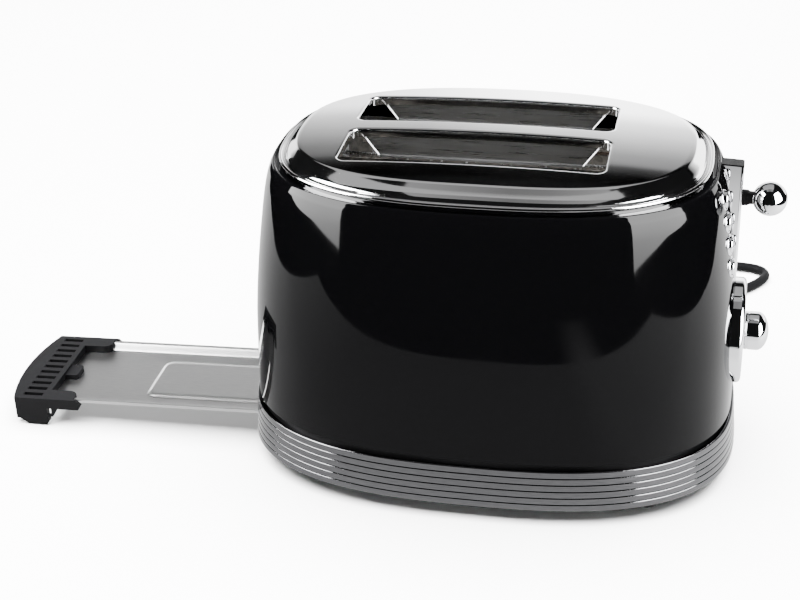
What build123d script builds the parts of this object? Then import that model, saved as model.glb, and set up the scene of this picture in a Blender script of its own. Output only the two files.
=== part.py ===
from build123d import *
import math
import os

# Two-slot toaster with its crumb tray drawn out, in millimetres.
# Origin: centre of the body's footprint on the worktop. +Z up, +X towards the lever and the dial,
# +Y towards the side where the mains lead leaves.

# Plan shape shared by the base, the shell and the top, for a half length of one
PLAN_RATIO = 0.6985
CORNER_X = 0.42366
CORNER_Y = 0.07759
RING_HALF_LENGTH = 142.5

# Heights of the body
FOOT_HEIGHT = 8.7
FOOT_RADIUS = 6.0
FOOT_X = 96.0
FOOT_Y = 65.0
PAN_THICKNESS = 2.5
PAN_WALL_OUTER = 137.2
PAN_WALL_INNER = 134.8
PAN_TOP = 42.5
PAN_NOTCH_X = -107.0
PAN_NOTCH_TOP = 24.0
SCREW_X = 70.0
SCREW_Y = 72.0
SCREW_HOLE = 1.65
RING_BOTTOM = 10.2
RING_TOP = 34.7
RING_TAPER = 1.9
RING_WALL = 2.6
RING_NOTCH_TOP = 23.2
RIB_COUNT = 6
GROOVE_DEPTH = 1.0
GROOVE_WIDTH = 0.9
SHELL_BOTTOM = 38.5
SHELL_WALL = 1.0

# Shell profile: height and half length of the oval there
SHELL_PROFILE = [(38.5, 139.2), (61.0, 138.7), (91.0, 137.8), (121.0, 135.2), (151.0, 131.4),
                 (168.0, 128.6), (176.5, 126.2), (180.8, 124.2)]

# Polished top: a flat rim with a bead, a skirt that stands on the shell's rim, and a shallow dome
TOP_RIM_HALF = 120.4
TOP_RIM_Z = 183.0
TOP_RIM_BEAD = 1.8
SKIRT_HALF = 116.8
SKIRT_BOTTOM = 181.0
DOME_TOP = 195.4
DOME_RADIUS_X = 1600.0
DOME_RADIUS_Y = 710.0
SHOULDER_ROUND = 6.4
TOP_THICKNESS = 0.9

# Bread slots
SLOT_X_LOW = -81.6
SLOT_X_HIGH = 65.8
SLOT_WIDTH = 45.3
SLOT_GAP = 10.4
SLOT_CORNER = 7.0
SLOT_LIP_DEPTH = 5.0
SLOT_CENTRE_Y = SLOT_GAP / 2 + SLOT_WIDTH / 2
GUIDE_TOP_Z = 190.0
GUIDE_DEPTH = 16.0
GUIDE_SLANT = 8.0
GUIDE_INSET = 9.0
GUIDE_FOOT = 2.4
SHEET = 0.8

# Chassis that carries the heaters, the cages and the carriage
FRONT_FRAME_X = 86.0
REAR_FRAME_X = -98.0
FRAME_HALF_WIDTH = 58.0
FRAME_LEG_INNER = 46.0
FRAME_BOTTOM = 34.0
FRAME_TOP = 179.0
FRAME_SHEET = 1.0
FRAME_SHELF_X = 106.0
FRAME_SHELF_HALF = 34.0
RAIL_TOP = 12.7
RAIL_Y = 60.0
RAIL_HALF_WIDTH = 14.0
RACK_SLOT_LOW = 44.0
RACK_SLOT_HIGH = 103.0
RACK_SLOT_HALF = 1.4
REFLECTOR_Y = 57.2
BOARD_BOTTOM = 48.0
BOARD_TOP = 172.0
OUTER_BOARD_Y = 53.2
INNER_BOARD_Y = 2.6
RIBBONS_PER_BOARD = 7
CAGE_OFFSET = 17.0
CAGE_WIRE_RADIUS = 0.9
CAGE_BOTTOM = 60.0
CAGE_TOP = 171.0
CAGE_UPRIGHTS = 8
CAGE_START_X = -80.0
CAGE_SPAN = 144.0
RIBBON_START_X = -88.0
RIBBON_END_X = 76.0
RIBBON_HALF_WIDTH = 0.9
RIBBON_SHEET = 0.3
BOARD_HALF_SHEET = 0.4

# Carriage, lever and browning latch
LEVER_Z = 162.2
LEVER_TRAVEL = 45.5
ARM_HALF_HEIGHT = 4.5
ARM_HALF_WIDTH = 2.0
BALL_X = 151.6
BALL_RADIUS = 9.5
CARRIAGE_X = 93.0
CARRIAGE_SHEET = 1.6
CARRIAGE_BOTTOM = 96.0
RACK_Z = 100.0
RACK_HALF_WIDTH = 5.5
RACK_RIB_HEIGHT = 8.0
ROD_X = 99.0
ROD_Y = 20.0
ROD_RADIUS = 2.0
RUNNING_GAP = 0.08
SPRING_Y = 30.0
MAGNET_TOP = 54.2
ROD_BOTTOM = 40.0
ROD_TOP = 179.0

# Lever housing on the end of the shell
HOUSING_FACE_X = 136.6
HOUSING_HALF_WIDTH = 4.6
HOUSING_BACK_X = 119.5
HOUSING_BOTTOM = 110.6
HOUSING_TOP = 183.4
HOUSING_TOP_SLOPE = 3.0
HOUSING_CAP = 0.9
HOUSING_CORNER = 1.6
HOUSING_WALL = 1.3
LEVER_SLOT_HALF_WIDTH = 2.5
LEVER_SLOT_LOW = 111.9
LEVER_SLOT_HIGH = 167.2
SHELL_SLOT_TOP = 174.0

# Browning dial
DIAL_Z = 80.0
DIAL_RADIUS = 30.2
DIAL_FACE_X = 143.0
DIAL_EDGE = 2.6
KNOB_RADIUS = 11.0
KNOB_START_X = 143.4
KNOB_STRAIGHT_X = 150.6
KNOB_END_X = 157.0
SHAFT_RADIUS = 3.0
BOARD_X = 112.0
BOARD_SHEET = 1.6

# Push buttons beside the lever
BUTTON_Y = -20.0
BUTTON_Z = [169.0, 155.7, 142.4, 129.1]
BUTTON_NAMES = ["button_cancel", "button_reheat", "button_defrost", "button_bagel"]
BUTTON_RADIUS = 4.75
BUTTON_PROUD = 1.8
BUTTON_DEPTH = 5.6
BUTTON_EDGE = 1.1
BUTTON_HOLE = 5.1
BUTTON_RIM = 0.9
BUTTON_RIM_PROUD = 0.5
BUTTON_STEM = 2.0
BUTTON_STEM_END_X = 118.6
BUTTON_GUIDE_X = 119.0
BUTTON_GUIDE_SHEET = 2.4
BUTTON_GUIDE_HALF = 5.0
SWITCH_SIZE = 6.0
SWITCH_DEPTH = 2.8

# Crumb tray and its handle, drawn level and then tilted to the slope that the runners give
TRAY_OUT = 155.5
TRAY_TILT = 1.6
TRAY_PIVOT_X = -148.0
TRAY_RIM_Z = 22.0
TRAY_DEPTH = 4.4
TRAY_HALF = 38.0
TRAY_FLOOR_HALF = 32.5
TRAY_SHEET = 0.8
TRAY_INNER_X = -52.5
EMBOSS_HALF = 22.5
EMBOSS_X = -214.0
EMBOSS_HEIGHT = 1.0
EMBOSS_CORNER = 7.0
HANDLE_FACE_X = -RING_HALF_LENGTH - TRAY_OUT
HANDLE_FACE_RADIUS = 130.0
HANDLE_BACK_X = -271.2
HANDLE_TOP_Z = TRAY_RIM_Z + 0.4
HANDLE_LOW_Z = TRAY_RIM_Z - 17.6
HANDLE_HALF = 40.2
HANDLE_WALL = 2.2
LOUVRE_COUNT = 11
LOUVRE_PITCH = 6.93
LOUVRE_WIDTH = 3.2
LOUVRE_OUTER_X = -287.2
LOUVRE_INNER_X = -274.8
WING_END_X = -253.6
WING_INNER_Y = 28.7
FINGER_END_X = -248.6
FINGER_LOW_Z = 15.7
FINGER_THICKNESS = 1.9
TRAY_WINDOW_HALF = 41.2
RAIL_START_X = -92.0
RAIL_END_X = 104.0
RAIL_LEDGE_Y = 36.9
RAIL_WEB_Y = 40.0
RAIL_OUTER_Y = 41.0

# Mains lead
CORD_RADIUS = 3.1
CORD_DIAMETER = 2 * CORD_RADIUS
GLAND_X = 84.0
GLAND_Z = 17.5
GLAND_END_Y = 118.0
GLAND_RADIUS = 5.3
GLAND_START_Y = 92.0
GLAND_FLANGE_RADIUS = 6.2
COIL_Z = 3.8
COIL_X = 60.0
COIL_START_Y = 240.0
COIL_RADIUS = 37.5
COIL_PITCH = 6.9
PLUG_Z = 12.4

# The lead's free run, from the gland to the start of the put-away coil
CORD_ROUTE = [(84.0, 118.0, 17.5), (84.0, 131.0, 17.5), (85.0, 147.0, 14.0), (90.0, 163.0, 8.6),
              (99.0, 177.0, 4.6), (112.0, 186.5, 3.4), (126.0, 192.0, 3.4), (139.5, 199.5, 3.4),
              (150.5, 211.0, 3.4), (157.6, 221.6, 3.4), (160.2, 228.9, 3.4), (158.0, 236.2, 3.4),
              (151.0, 240.2, 3.5), (138.0, 241.6, 3.6), (113.0, 242.4, 3.8), (89.0, 240.0, 3.8),
              (67.0, 240.0, 3.8)]

# The lead's tail, from the top layer of the coil over its first turn and down to the plug
TAIL_ROUTE = [(53.0, 233.1, 10.7), (38.0, 233.1, 10.7), (22.0, 234.6, 10.5), (6.0, 236.6, 7.6),
              (-10.0, 237.6, 4.4), (-25.0, 237.0, 3.9), (-39.0, 235.9, 6.2), (-52.0, 234.8, 10.3),
              (-64.0, 234.0, 12.4), (-75.0, 233.3, 12.4)]


def oval_edges(half_length, z):
    """The oval outline at height z: straight ends, round corners and long side arcs, all tangent."""
    a = half_length
    b = a * PLAN_RATIO
    cx = a * CORNER_X
    cy = a * CORNER_Y
    r = a - cx
    side_radius = (cx ** 2 + (b - cy) ** 2 - r ** 2) / (2 * (b - cy - r))
    from_side = math.atan2(cy - (b - side_radius), cx)
    tx = cx + r * math.cos(from_side)
    ty = cy + r * math.sin(from_side)
    mx = cx + r * math.cos(from_side / 2)
    my = cy + r * math.sin(from_side / 2)
    return [Line((a, -cy, z), (a, cy, z)),
            ThreePointArc((a, cy, z), (mx, my, z), (tx, ty, z)),
            ThreePointArc((tx, ty, z), (0, b, z), (-tx, ty, z)),
            ThreePointArc((-tx, ty, z), (-mx, my, z), (-a, cy, z)),
            Line((-a, cy, z), (-a, -cy, z)),
            ThreePointArc((-a, -cy, z), (-mx, -my, z), (-tx, -ty, z)),
            ThreePointArc((-tx, -ty, z), (0, -b, z), (tx, -ty, z)),
            ThreePointArc((tx, -ty, z), (mx, -my, z), (a, -cy, z))]


def oval_face(half_length, z):
    """The oval as a flat face at height z."""
    return Face(Wire(oval_edges(half_length, z)))


def oval_block(profile):
    """A solid lofted through ovals at (height, half length) pairs."""
    return loft([oval_face(half, z) for z, half in profile])


def oval_disc(half_length, z, height):
    """A straight-sided oval block."""
    return extrude(oval_face(half_length, z), amount=height, dir=(0, 0, 1))


def box(x, y, z):
    """A box from its low and high limits along each axis."""
    size = (x[1] - x[0], y[1] - y[0], z[1] - z[0])
    centre = ((x[0] + x[1]) / 2, (y[0] + y[1]) / 2, (z[0] + z[1]) / 2)
    return Pos(*centre) * Box(*size)


def rod_x(x, y, z, radius):
    """A round bar along X between the two x limits."""
    return Pos((x[0] + x[1]) / 2, y, z) * Rot(0, 90, 0) * Cylinder(radius, x[1] - x[0])


def rod_z(x, y, z, radius):
    """A round bar along Z between the two z limits."""
    return Pos(x, y, (z[0] + z[1]) / 2) * Cylinder(radius, z[1] - z[0])


def shell_half(z):
    """Half length of the shell's oval at height z, straight between the profile's heights."""
    for (z0, a0), (z1, a1) in zip(SHELL_PROFILE, SHELL_PROFILE[1:]):
        if z <= z1:
            return a0 + (a1 - a0) * (z - z0) / (z1 - z0)
    return SHELL_PROFILE[-1][1]


def shell_x(y, z):
    """X of the shell's outer surface at its lever end, at a given y and z."""
    a = shell_half(z)
    past_corner = max(abs(y) - a * CORNER_Y, 0)
    return a * CORNER_X + math.sqrt((a - a * CORNER_X) ** 2 - past_corner ** 2)


def tilt(shape):
    """Turn a level tray piece to the slope of its runners."""
    return Pos(TRAY_PIVOT_X, 0, TRAY_RIM_Z) * Rot(0, -TRAY_TILT, 0) * Pos(-TRAY_PIVOT_X, 0, -TRAY_RIM_Z) * shape


def shell_block():
    """The outside of the shell as one solid."""
    return oval_block(SHELL_PROFILE)


def body_shell(outer):
    """Painted steel shell: open below, a rim turned in at the top, and holes at its lever end."""
    inner = oval_block([(z, half - SHELL_WALL) for z, half in SHELL_PROFILE])
    shell = outer - inner
    rim = oval_disc(SHELL_PROFILE[-1][1] - SHELL_WALL / 2, SKIRT_BOTTOM - 1.2, 1.2)
    rim -= oval_disc(SKIRT_HALF - 3.0, SKIRT_BOTTOM - 2.0, 4.0)
    shell += rim
    shell -= box((118, 150), (-HOUSING_HALF_WIDTH + HOUSING_WALL, HOUSING_HALF_WIDTH - HOUSING_WALL),
                 (LEVER_SLOT_LOW, SHELL_SLOT_TOP))
    shell -= rod_x((118, 150), 0, DIAL_Z, SHAFT_RADIUS + 3)
    for z in BUTTON_Z:
        shell -= rod_x((118, 150), BUTTON_Y, z, BUTTON_HOLE)
    return shell


def dome_block(inset):
    """Everything under the dome's skin, moved inwards by an inset."""
    block = oval_disc(SKIRT_HALF - inset, SKIRT_BOTTOM, 30)
    ring = Torus(DOME_RADIUS_X - DOME_RADIUS_Y, DOME_RADIUS_Y - inset)
    block = block & (Pos(0, 0, DOME_TOP - DOME_RADIUS_X) * Rot(90, 0, 0) * ring)
    brow = block.edges().filter_by_position(Axis.Z, DOME_TOP - 9, DOME_TOP + 1)
    return fillet(brow, SHOULDER_ROUND - inset)


def top_plate():
    """Polished steel top: a rim bead, a shoulder and a shallow dome with two lipped slots."""
    rim = oval_disc(TOP_RIM_HALF, TOP_RIM_Z, TOP_RIM_BEAD)
    rim = fillet(rim.edges().group_by(Axis.Z)[-1], 0.8)
    hollow = dome_block(TOP_THICKNESS)
    plate = rim + dome_block(0) - hollow
    for side in (-1, 1):
        lip = slot_block(side, SHEET, GUIDE_TOP_Z + 1 - SLOT_LIP_DEPTH, 200)
        plate += lip & hollow
        plate -= slot_block(side, 0, 170, 200)
    return plate


def slot_block(side, grow, z_low, z_high):
    """The rounded block of one bread slot, grown outwards by a margin."""
    middle_x = (SLOT_X_LOW + SLOT_X_HIGH) / 2
    outline = RectangleRounded(SLOT_X_HIGH - SLOT_X_LOW + 2 * grow, SLOT_WIDTH + 2 * grow, SLOT_CORNER + grow)
    return extrude(Pos(middle_x, side * SLOT_CENTRE_Y, z_low) * outline, amount=z_high - z_low)


def slot_guides():
    """Four bread guides: sheet flaps under the long edges of the slots, narrower towards the bottom."""
    guides = []
    low = GUIDE_TOP_Z - GUIDE_DEPTH
    top_x = (SLOT_X_LOW + GUIDE_INSET, SLOT_X_HIGH - GUIDE_INSET)
    low_x = (top_x[0] + GUIDE_SLANT, top_x[1] - GUIDE_SLANT)
    for side in (-1, 1):
        for edge in (-1, 1):
            y = side * SLOT_CENTRE_Y + edge * (SLOT_WIDTH / 2 - SHEET / 2)
            flap = Polyline((top_x[0], GUIDE_TOP_Z), (top_x[1], GUIDE_TOP_Z), (low_x[1], low), (low_x[0], low),
                            close=True)
            flap = extrude(Plane.XZ * make_face(flap), amount=SHEET / 2, both=True)
            foot = box(low_x, sorted((0, -edge * GUIDE_FOOT)), (low, low + SHEET))
            guides.append(Pos(0, y, 0) * (flap + foot))
    return Compound(children=guides)


def base_ring():
    """Ribbed metal ring round the foot of the body, with a notch for the tray's handle."""
    top_half = RING_HALF_LENGTH - RING_TAPER
    ring = oval_block([(RING_BOTTOM, RING_HALF_LENGTH), (RING_TOP, top_half)])
    ring -= oval_block([(RING_BOTTOM - 1, RING_HALF_LENGTH - RING_WALL), (RING_TOP + 1, top_half - RING_WALL)])
    pitch = (RING_TOP - RING_BOTTOM) / RIB_COUNT
    for n in range(1, RIB_COUNT):
        z = RING_BOTTOM + n * pitch
        half = RING_HALF_LENGTH - RING_TAPER * (z - RING_BOTTOM) / (RING_TOP - RING_BOTTOM)
        band = oval_disc(half + 2, z - GROOVE_WIDTH / 2, GROOVE_WIDTH)
        ring -= band - oval_disc(half - GROOVE_DEPTH, z - GROOVE_WIDTH / 2, GROOVE_WIDTH)
    ring -= box((-160, -110), (-TRAY_WINDOW_HALF, TRAY_WINDOW_HALF), (0, RING_NOTCH_TOP))
    ring -= gland_bore()
    return ring


def base_pan():
    """Black moulded base: a floor with an upstanding wall that shows as the dark gap over the ring."""
    floor = oval_disc(RING_HALF_LENGTH - RING_WALL - 0.4, FOOT_HEIGHT, PAN_THICKNESS)
    wall = oval_disc(PAN_WALL_OUTER, FOOT_HEIGHT, PAN_TOP - FOOT_HEIGHT)
    wall -= oval_disc(PAN_WALL_INNER, FOOT_HEIGHT - 1, PAN_TOP)
    pan = floor + wall
    pan -= box((-160, PAN_NOTCH_X), (-TRAY_WINDOW_HALF, TRAY_WINDOW_HALF), (0, PAN_NOTCH_TOP))
    for x in (-1, 1):
        for y in (-1, 1):
            pan -= rod_z(x * SCREW_X, y * SCREW_Y, (0, 20), SCREW_HOLE)
    pan -= gland_bore()
    return pan


def feet():
    """Four rubber feet, a little narrower where they meet the worktop."""
    group = []
    for x in (-1, 1):
        for y in (-1, 1):
            foot = Pos(x * FOOT_X, y * FOOT_Y, FOOT_HEIGHT / 2) * Cylinder(FOOT_RADIUS, FOOT_HEIGHT)
            group.append(chamfer(foot.edges().group_by(Axis.Z)[0], 0.8))
    return Compound(children=group)


def base_screws():
    """Four pan-head screws that hold the chassis legs to the base."""
    group = []
    for x in (-1, 1):
        for y in (-1, 1):
            head = Pos(x * SCREW_X, y * SCREW_Y, FOOT_HEIGHT - 0.9) * Cylinder(3.0, 1.8)
            slot = Pos(x * SCREW_X, y * SCREW_Y, FOOT_HEIGHT - 1.6) * Box(4.2, 0.8, 1.0)
            group.append(head - slot + rod_z(x * SCREW_X, y * SCREW_Y, (FOOT_HEIGHT, 19.0), SCREW_HOLE - 0.1))
    return Compound(children=group)


def chassis_rails():
    """Two long sheet rails that the end frames stand on."""
    rails = []
    for side in (-1, 1):
        rail = box((REAR_FRAME_X, 92), (side * RAIL_Y - RAIL_HALF_WIDTH, side * RAIL_Y + RAIL_HALF_WIDTH),
                   (FOOT_HEIGHT + PAN_THICKNESS, RAIL_TOP))
        for x in (-1, 1):
            hole = rod_z(x * SCREW_X, side * SCREW_Y, (5, 20), SCREW_HOLE)
            rail += Pos(x * SCREW_X, side * SCREW_Y, 15.5) * Cylinder(3.2, 5.6)
            rail -= hole
        rails.append(rail)
    return Compound(children=rails)


def end_frame(x):
    """One upright sheet of the chassis: legs either side of the tray, and slots for the bread racks."""
    plate = box((x, x + FRAME_SHEET), (-FRAME_HALF_WIDTH, FRAME_HALF_WIDTH), (RAIL_TOP, FRAME_TOP))
    plate -= box((x - 1, x + 2), (-FRAME_LEG_INNER, FRAME_LEG_INNER), (10, FRAME_BOTTOM))
    for side in (-1, 1):
        y = side * SLOT_CENTRE_Y
        plate -= box((x - 1, x + 2), (y - RACK_SLOT_HALF, y + RACK_SLOT_HALF), (RACK_SLOT_LOW, RACK_SLOT_HIGH))
    return plate


def front_frame():
    """Lever-end frame, with a top and a bottom shelf that hold the guide rods."""
    frame = end_frame(FRONT_FRAME_X)
    for z in (ROD_BOTTOM, ROD_TOP - FRAME_SHEET):
        frame += box((FRONT_FRAME_X + FRAME_SHEET, FRAME_SHELF_X), (-FRAME_SHELF_HALF, FRAME_SHELF_HALF),
                     (z, z + FRAME_SHEET))
    return frame


def side_reflectors():
    """Two thin bright sheets outside the heaters, from frame to frame."""
    sheets = []
    for side in (-1, 1):
        sheets.append(box((REAR_FRAME_X + FRAME_SHEET, FRONT_FRAME_X),
                          (side * REFLECTOR_Y - 0.3, side * REFLECTOR_Y + 0.3), (40, 176)))
    return Compound(children=sheets)


def mica_boards():
    """Four insulating boards that carry the heating ribbon, one each side of each slot."""
    boards = []
    for y in (-OUTER_BOARD_Y, -INNER_BOARD_Y, INNER_BOARD_Y, OUTER_BOARD_Y):
        boards.append(box((REAR_FRAME_X + FRAME_SHEET, FRONT_FRAME_X), (y - BOARD_HALF_SHEET, y + BOARD_HALF_SHEET),
                          (BOARD_BOTTOM, BOARD_TOP)))
    return Compound(children=boards)


def heating_ribbons():
    """Flat heating ribbon in level runs on the bread side of each board."""
    runs = []
    spacing = (BOARD_TOP - BOARD_BOTTOM - 20) / (RIBBONS_PER_BOARD - 1)
    for y, towards in [(-OUTER_BOARD_Y, 1), (-INNER_BOARD_Y, -1), (INNER_BOARD_Y, 1), (OUTER_BOARD_Y, -1)]:
        for n in range(RIBBONS_PER_BOARD):
            z = BOARD_BOTTOM + 10 + n * spacing
            face = y + towards * BOARD_HALF_SHEET
            across = sorted((face, face + towards * RIBBON_SHEET))
            runs.append(box((RIBBON_START_X, RIBBON_END_X), across, (z - RIBBON_HALF_WIDTH, z + RIBBON_HALF_WIDTH)))
    return Compound(children=runs)


def bread_cages():
    """Four wire guards that keep the bread off the heaters."""
    cages = []
    for side in (-1, 1):
        for offset in (-CAGE_OFFSET, CAGE_OFFSET):
            y = side * SLOT_CENTRE_Y + offset
            cage = rod_x((REAR_FRAME_X + FRAME_SHEET, FRONT_FRAME_X), y, CAGE_TOP, CAGE_WIRE_RADIUS)
            cage += rod_x((REAR_FRAME_X + FRAME_SHEET, FRONT_FRAME_X), y, CAGE_BOTTOM, CAGE_WIRE_RADIUS)
            for n in range(CAGE_UPRIGHTS):
                x = CAGE_START_X + n * CAGE_SPAN / (CAGE_UPRIGHTS - 1)
                cage += rod_z(x, y, (CAGE_BOTTOM, CAGE_TOP), CAGE_WIRE_RADIUS * 0.8)
            cages.append(cage)
    return Compound(children=cages)


def bread_rack(side):
    """One bread rack: a level strip with a rib below it that runs out through both end frames."""
    y = side * SLOT_CENTRE_Y
    strip = box((-88, 80), (y - RACK_HALF_WIDTH, y + RACK_HALF_WIDTH), (RACK_Z, RACK_Z + 1.2))
    for n in range(9):
        x = -79 + n * 18.5
        strip -= box((x - 5, x + 5), (y - 4.2, y - 1.2), (RACK_Z - 1, RACK_Z + 2))
        strip -= box((x - 5, x + 5), (y + 1.2, y + 4.2), (RACK_Z - 1, RACK_Z + 2))
    rib = box((-101, CARRIAGE_X), (y - 0.6, y + 0.6), (RACK_Z - RACK_RIB_HEIGHT, RACK_Z))
    return strip + rib


def carriage_plate():
    """Upright sheet that joins both racks to the lever, with two bushes on the guide rods."""
    plate = box((CARRIAGE_X, CARRIAGE_X + CARRIAGE_SHEET), (-34, 34), (CARRIAGE_BOTTOM - 4, CARRIAGE_BOTTOM + 24))
    plate += box((CARRIAGE_X, CARRIAGE_X + CARRIAGE_SHEET), (-25, 34), (CARRIAGE_BOTTOM + 20, 154))
    plate += box((CARRIAGE_X, CARRIAGE_X + CARRIAGE_SHEET), (-10, 10), (150, LEVER_Z + ARM_HALF_HEIGHT))
    for side in (-1, 1):
        block = box((CARRIAGE_X + CARRIAGE_SHEET, ROD_X + 4), (side * ROD_Y - 4, side * ROD_Y + 4), (120, 150))
        plate += block - rod_z(ROD_X, side * ROD_Y, (110, 160), ROD_RADIUS + RUNNING_GAP)
    plate += box((CARRIAGE_X + CARRIAGE_SHEET, ROD_X + 3), (SPRING_Y - 3, SPRING_Y + 3), (150, 152))
    return plate


def latch_armature():
    """Soft iron plate on the carriage that the latch magnet holds while bread is toasting."""
    return box((CARRIAGE_X + CARRIAGE_SHEET, 106), (-8, 8),
               (MAGNET_TOP + LEVER_TRAVEL, MAGNET_TOP + LEVER_TRAVEL + 2.5))


def electromagnet():
    """Latch magnet: a wound bobbin between two cheeks, standing on the frame's lower shelf."""
    low = ROD_BOTTOM + FRAME_SHEET
    magnet = box((95.6, 105.6), (-8, 8), (low, low + 2))
    magnet += box((95.6, 105.6), (-8, 8), (MAGNET_TOP - 2, MAGNET_TOP))
    magnet += rod_z(100.6, 0, (low, MAGNET_TOP), 4.4)
    return magnet


def guide_rods():
    """Two plain steel rods that the carriage runs on."""
    return Compound(children=[rod_z(ROD_X, side * ROD_Y, (ROD_BOTTOM + FRAME_SHEET, ROD_TOP - FRAME_SHEET), ROD_RADIUS)
                              for side in (-1, 1)])


def carriage_spring():
    """Lift spring, between the carriage's ear and the frame's top shelf, as its outer tube."""
    z = (152, ROD_TOP - FRAME_SHEET)
    return rod_z(ROD_X - 1, SPRING_Y, z, 2.8) - rod_z(ROD_X - 1, SPRING_Y, (z[0] - 1, z[1] + 1), 1.9)


def lever_arm():
    """Flat black arm from the carriage out through the lever slot."""
    return box((CARRIAGE_X + CARRIAGE_SHEET, BALL_X - BALL_RADIUS + 0.8), (-ARM_HALF_WIDTH, ARM_HALF_WIDTH),
               (LEVER_Z - ARM_HALF_HEIGHT, LEVER_Z + ARM_HALF_HEIGHT))


def lever_ball():
    """Polished ball that the hand presses down, socketed on the arm's end."""
    ball = Pos(BALL_X, 0, LEVER_Z) * Sphere(BALL_RADIUS)
    return ball - box((BALL_X - BALL_RADIUS - 1, BALL_X - BALL_RADIUS + 0.8), (-ARM_HALF_WIDTH, ARM_HALF_WIDTH),
                      (LEVER_Z - ARM_HALF_HEIGHT, LEVER_Z + ARM_HALF_HEIGHT))


def housing_block():
    """The housing's outside, its two outer uprights rounded, before its top and its hollow are cut."""
    block = box((HOUSING_BACK_X, HOUSING_FACE_X), (-HOUSING_HALF_WIDTH, HOUSING_HALF_WIDTH),
                (HOUSING_BOTTOM, HOUSING_TOP + 1))
    uprights = block.edges().filter_by(Axis.Z).group_by(Axis.X)[-1]
    block = fillet(uprights, HOUSING_CORNER)
    return block - oval_disc(SHELL_PROFILE[-1][1], SHELL_PROFILE[-1][0], 10)


def above_housing(drop):
    """Everything above the housing's sloping top, lowered by a given drop."""
    length = HOUSING_FACE_X + 2 - HOUSING_BACK_X
    z = HOUSING_TOP - drop
    outline = Polyline((HOUSING_BACK_X, z), (HOUSING_FACE_X + 2, z - length * math.tan(math.radians(HOUSING_TOP_SLOPE))),
                       (HOUSING_FACE_X + 2, z + 30), (HOUSING_BACK_X, z + 30), close=True)
    return extrude(Plane.XZ * make_face(outline), amount=40, both=True)


def lever_housing(outer):
    """Polished upright housing round the lever slot, standing out from the shell's end."""
    inner_half = HOUSING_HALF_WIDTH - HOUSING_WALL
    housing = housing_block() - above_housing(HOUSING_CAP)
    housing -= box((100, HOUSING_FACE_X - HOUSING_WALL), (-inner_half, inner_half),
                   (LEVER_SLOT_LOW, SHELL_SLOT_TOP))
    housing -= box((100, HOUSING_FACE_X + 1), (-LEVER_SLOT_HALF_WIDTH, LEVER_SLOT_HALF_WIDTH),
                   (LEVER_SLOT_LOW, LEVER_SLOT_HIGH))
    return housing - outer


def housing_cap(outer):
    """Thin black cap that closes the sloping top of the lever housing."""
    cap = (housing_block() & above_housing(HOUSING_CAP)) - above_housing(0)
    return cap - outer


def button_bezel(outer):
    """Four slim polished rims, one round each push button, that follow the shell."""
    skin = oval_block([(z, half + BUTTON_RIM_PROUD) for z, half in SHELL_PROFILE]) - outer
    rims = []
    for z in BUTTON_Z:
        rim = rod_x((118, 140), BUTTON_Y, z, BUTTON_HOLE + BUTTON_RIM) - rod_x((117, 141), BUTTON_Y, z, BUTTON_HOLE)
        rims.append(rim & skin)
    return Compound(children=rims)


def push_button(z):
    """One round button: a polished cap on a stem that reaches in to its switch."""
    face = shell_x(BUTTON_Y, z) + BUTTON_PROUD
    cap = rod_x((face - BUTTON_DEPTH, face), BUTTON_Y, z, BUTTON_RADIUS)
    cap = fillet(cap.edges().group_by(Axis.X)[-1], BUTTON_EDGE)
    return cap + rod_x((BUTTON_STEM_END_X, face - BUTTON_DEPTH + 0.5), BUTTON_Y, z, BUTTON_STEM)


def button_guide():
    """Black bar with a bore for each button's stem."""
    y = (BUTTON_Y - BUTTON_GUIDE_HALF, BUTTON_Y + BUTTON_GUIDE_HALF)
    low = BUTTON_Z[-1] - 6
    bar = box((BUTTON_GUIDE_X, BUTTON_GUIDE_X + BUTTON_GUIDE_SHEET), y, (low, BUTTON_Z[0] + 4))
    bar += box((BOARD_X + BOARD_SHEET, BUTTON_GUIDE_X), y, (low, low + 2))
    for z in BUTTON_Z:
        bar -= rod_x((112, 126), BUTTON_Y, z, BUTTON_STEM + RUNNING_GAP)
    return bar


def circuit_board():
    """Timer board behind the controls, notched so that the lever arm passes beside it."""
    x = (BOARD_X, BOARD_X + BOARD_SHEET)
    board = box(x, (-40, -6), (58, 172)) + box(x, (-40, 26), (58, 104))
    return board - rod_x((BOARD_X - 1, BOARD_X + 3), 0, DIAL_Z, SHAFT_RADIUS + 0.5)


def board_brackets():
    """Two sheet arms that carry the circuit board on the front frame."""
    arms = []
    for z in (62, 98):
        arms.append(box((FRONT_FRAME_X + FRAME_SHEET, BOARD_X), (-39, -37.8), (z, z + 8)))
    return Compound(children=arms)


def button_switches():
    """Four small push switches on the board, one behind each button."""
    return Compound(children=[box((BOARD_X + BOARD_SHEET, BOARD_X + BOARD_SHEET + SWITCH_DEPTH),
                                  (BUTTON_Y - SWITCH_SIZE / 2, BUTTON_Y + SWITCH_SIZE / 2),
                                  (z - SWITCH_SIZE / 2, z + SWITCH_SIZE / 2)) for z in BUTTON_Z])


def dial_potentiometer():
    """Round body of the browning control, on the board, with a bush for its shaft."""
    body = rod_x((BOARD_X + BOARD_SHEET, 121), 0, DIAL_Z, 8.5)
    body += rod_x((121, 127), 0, DIAL_Z, 4.6)
    return body - rod_x((116, 130), 0, DIAL_Z, SHAFT_RADIUS + RUNNING_GAP)


def potentiometer_shaft():
    """Turning shaft between the browning control and the knob."""
    return rod_x((116.4, KNOB_STRAIGHT_X), 0, DIAL_Z, SHAFT_RADIUS)


def dial_bezel(outer):
    """Thick polished disc round the knob, its back shaped to the shell."""
    disc = rod_x((126, DIAL_FACE_X), 0, DIAL_Z, DIAL_RADIUS)
    disc = fillet(disc.edges().group_by(Axis.X)[-1], DIAL_EDGE)
    disc -= rod_x((120, 150), 0, DIAL_Z, SHAFT_RADIUS + 1)
    return disc - outer


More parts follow.
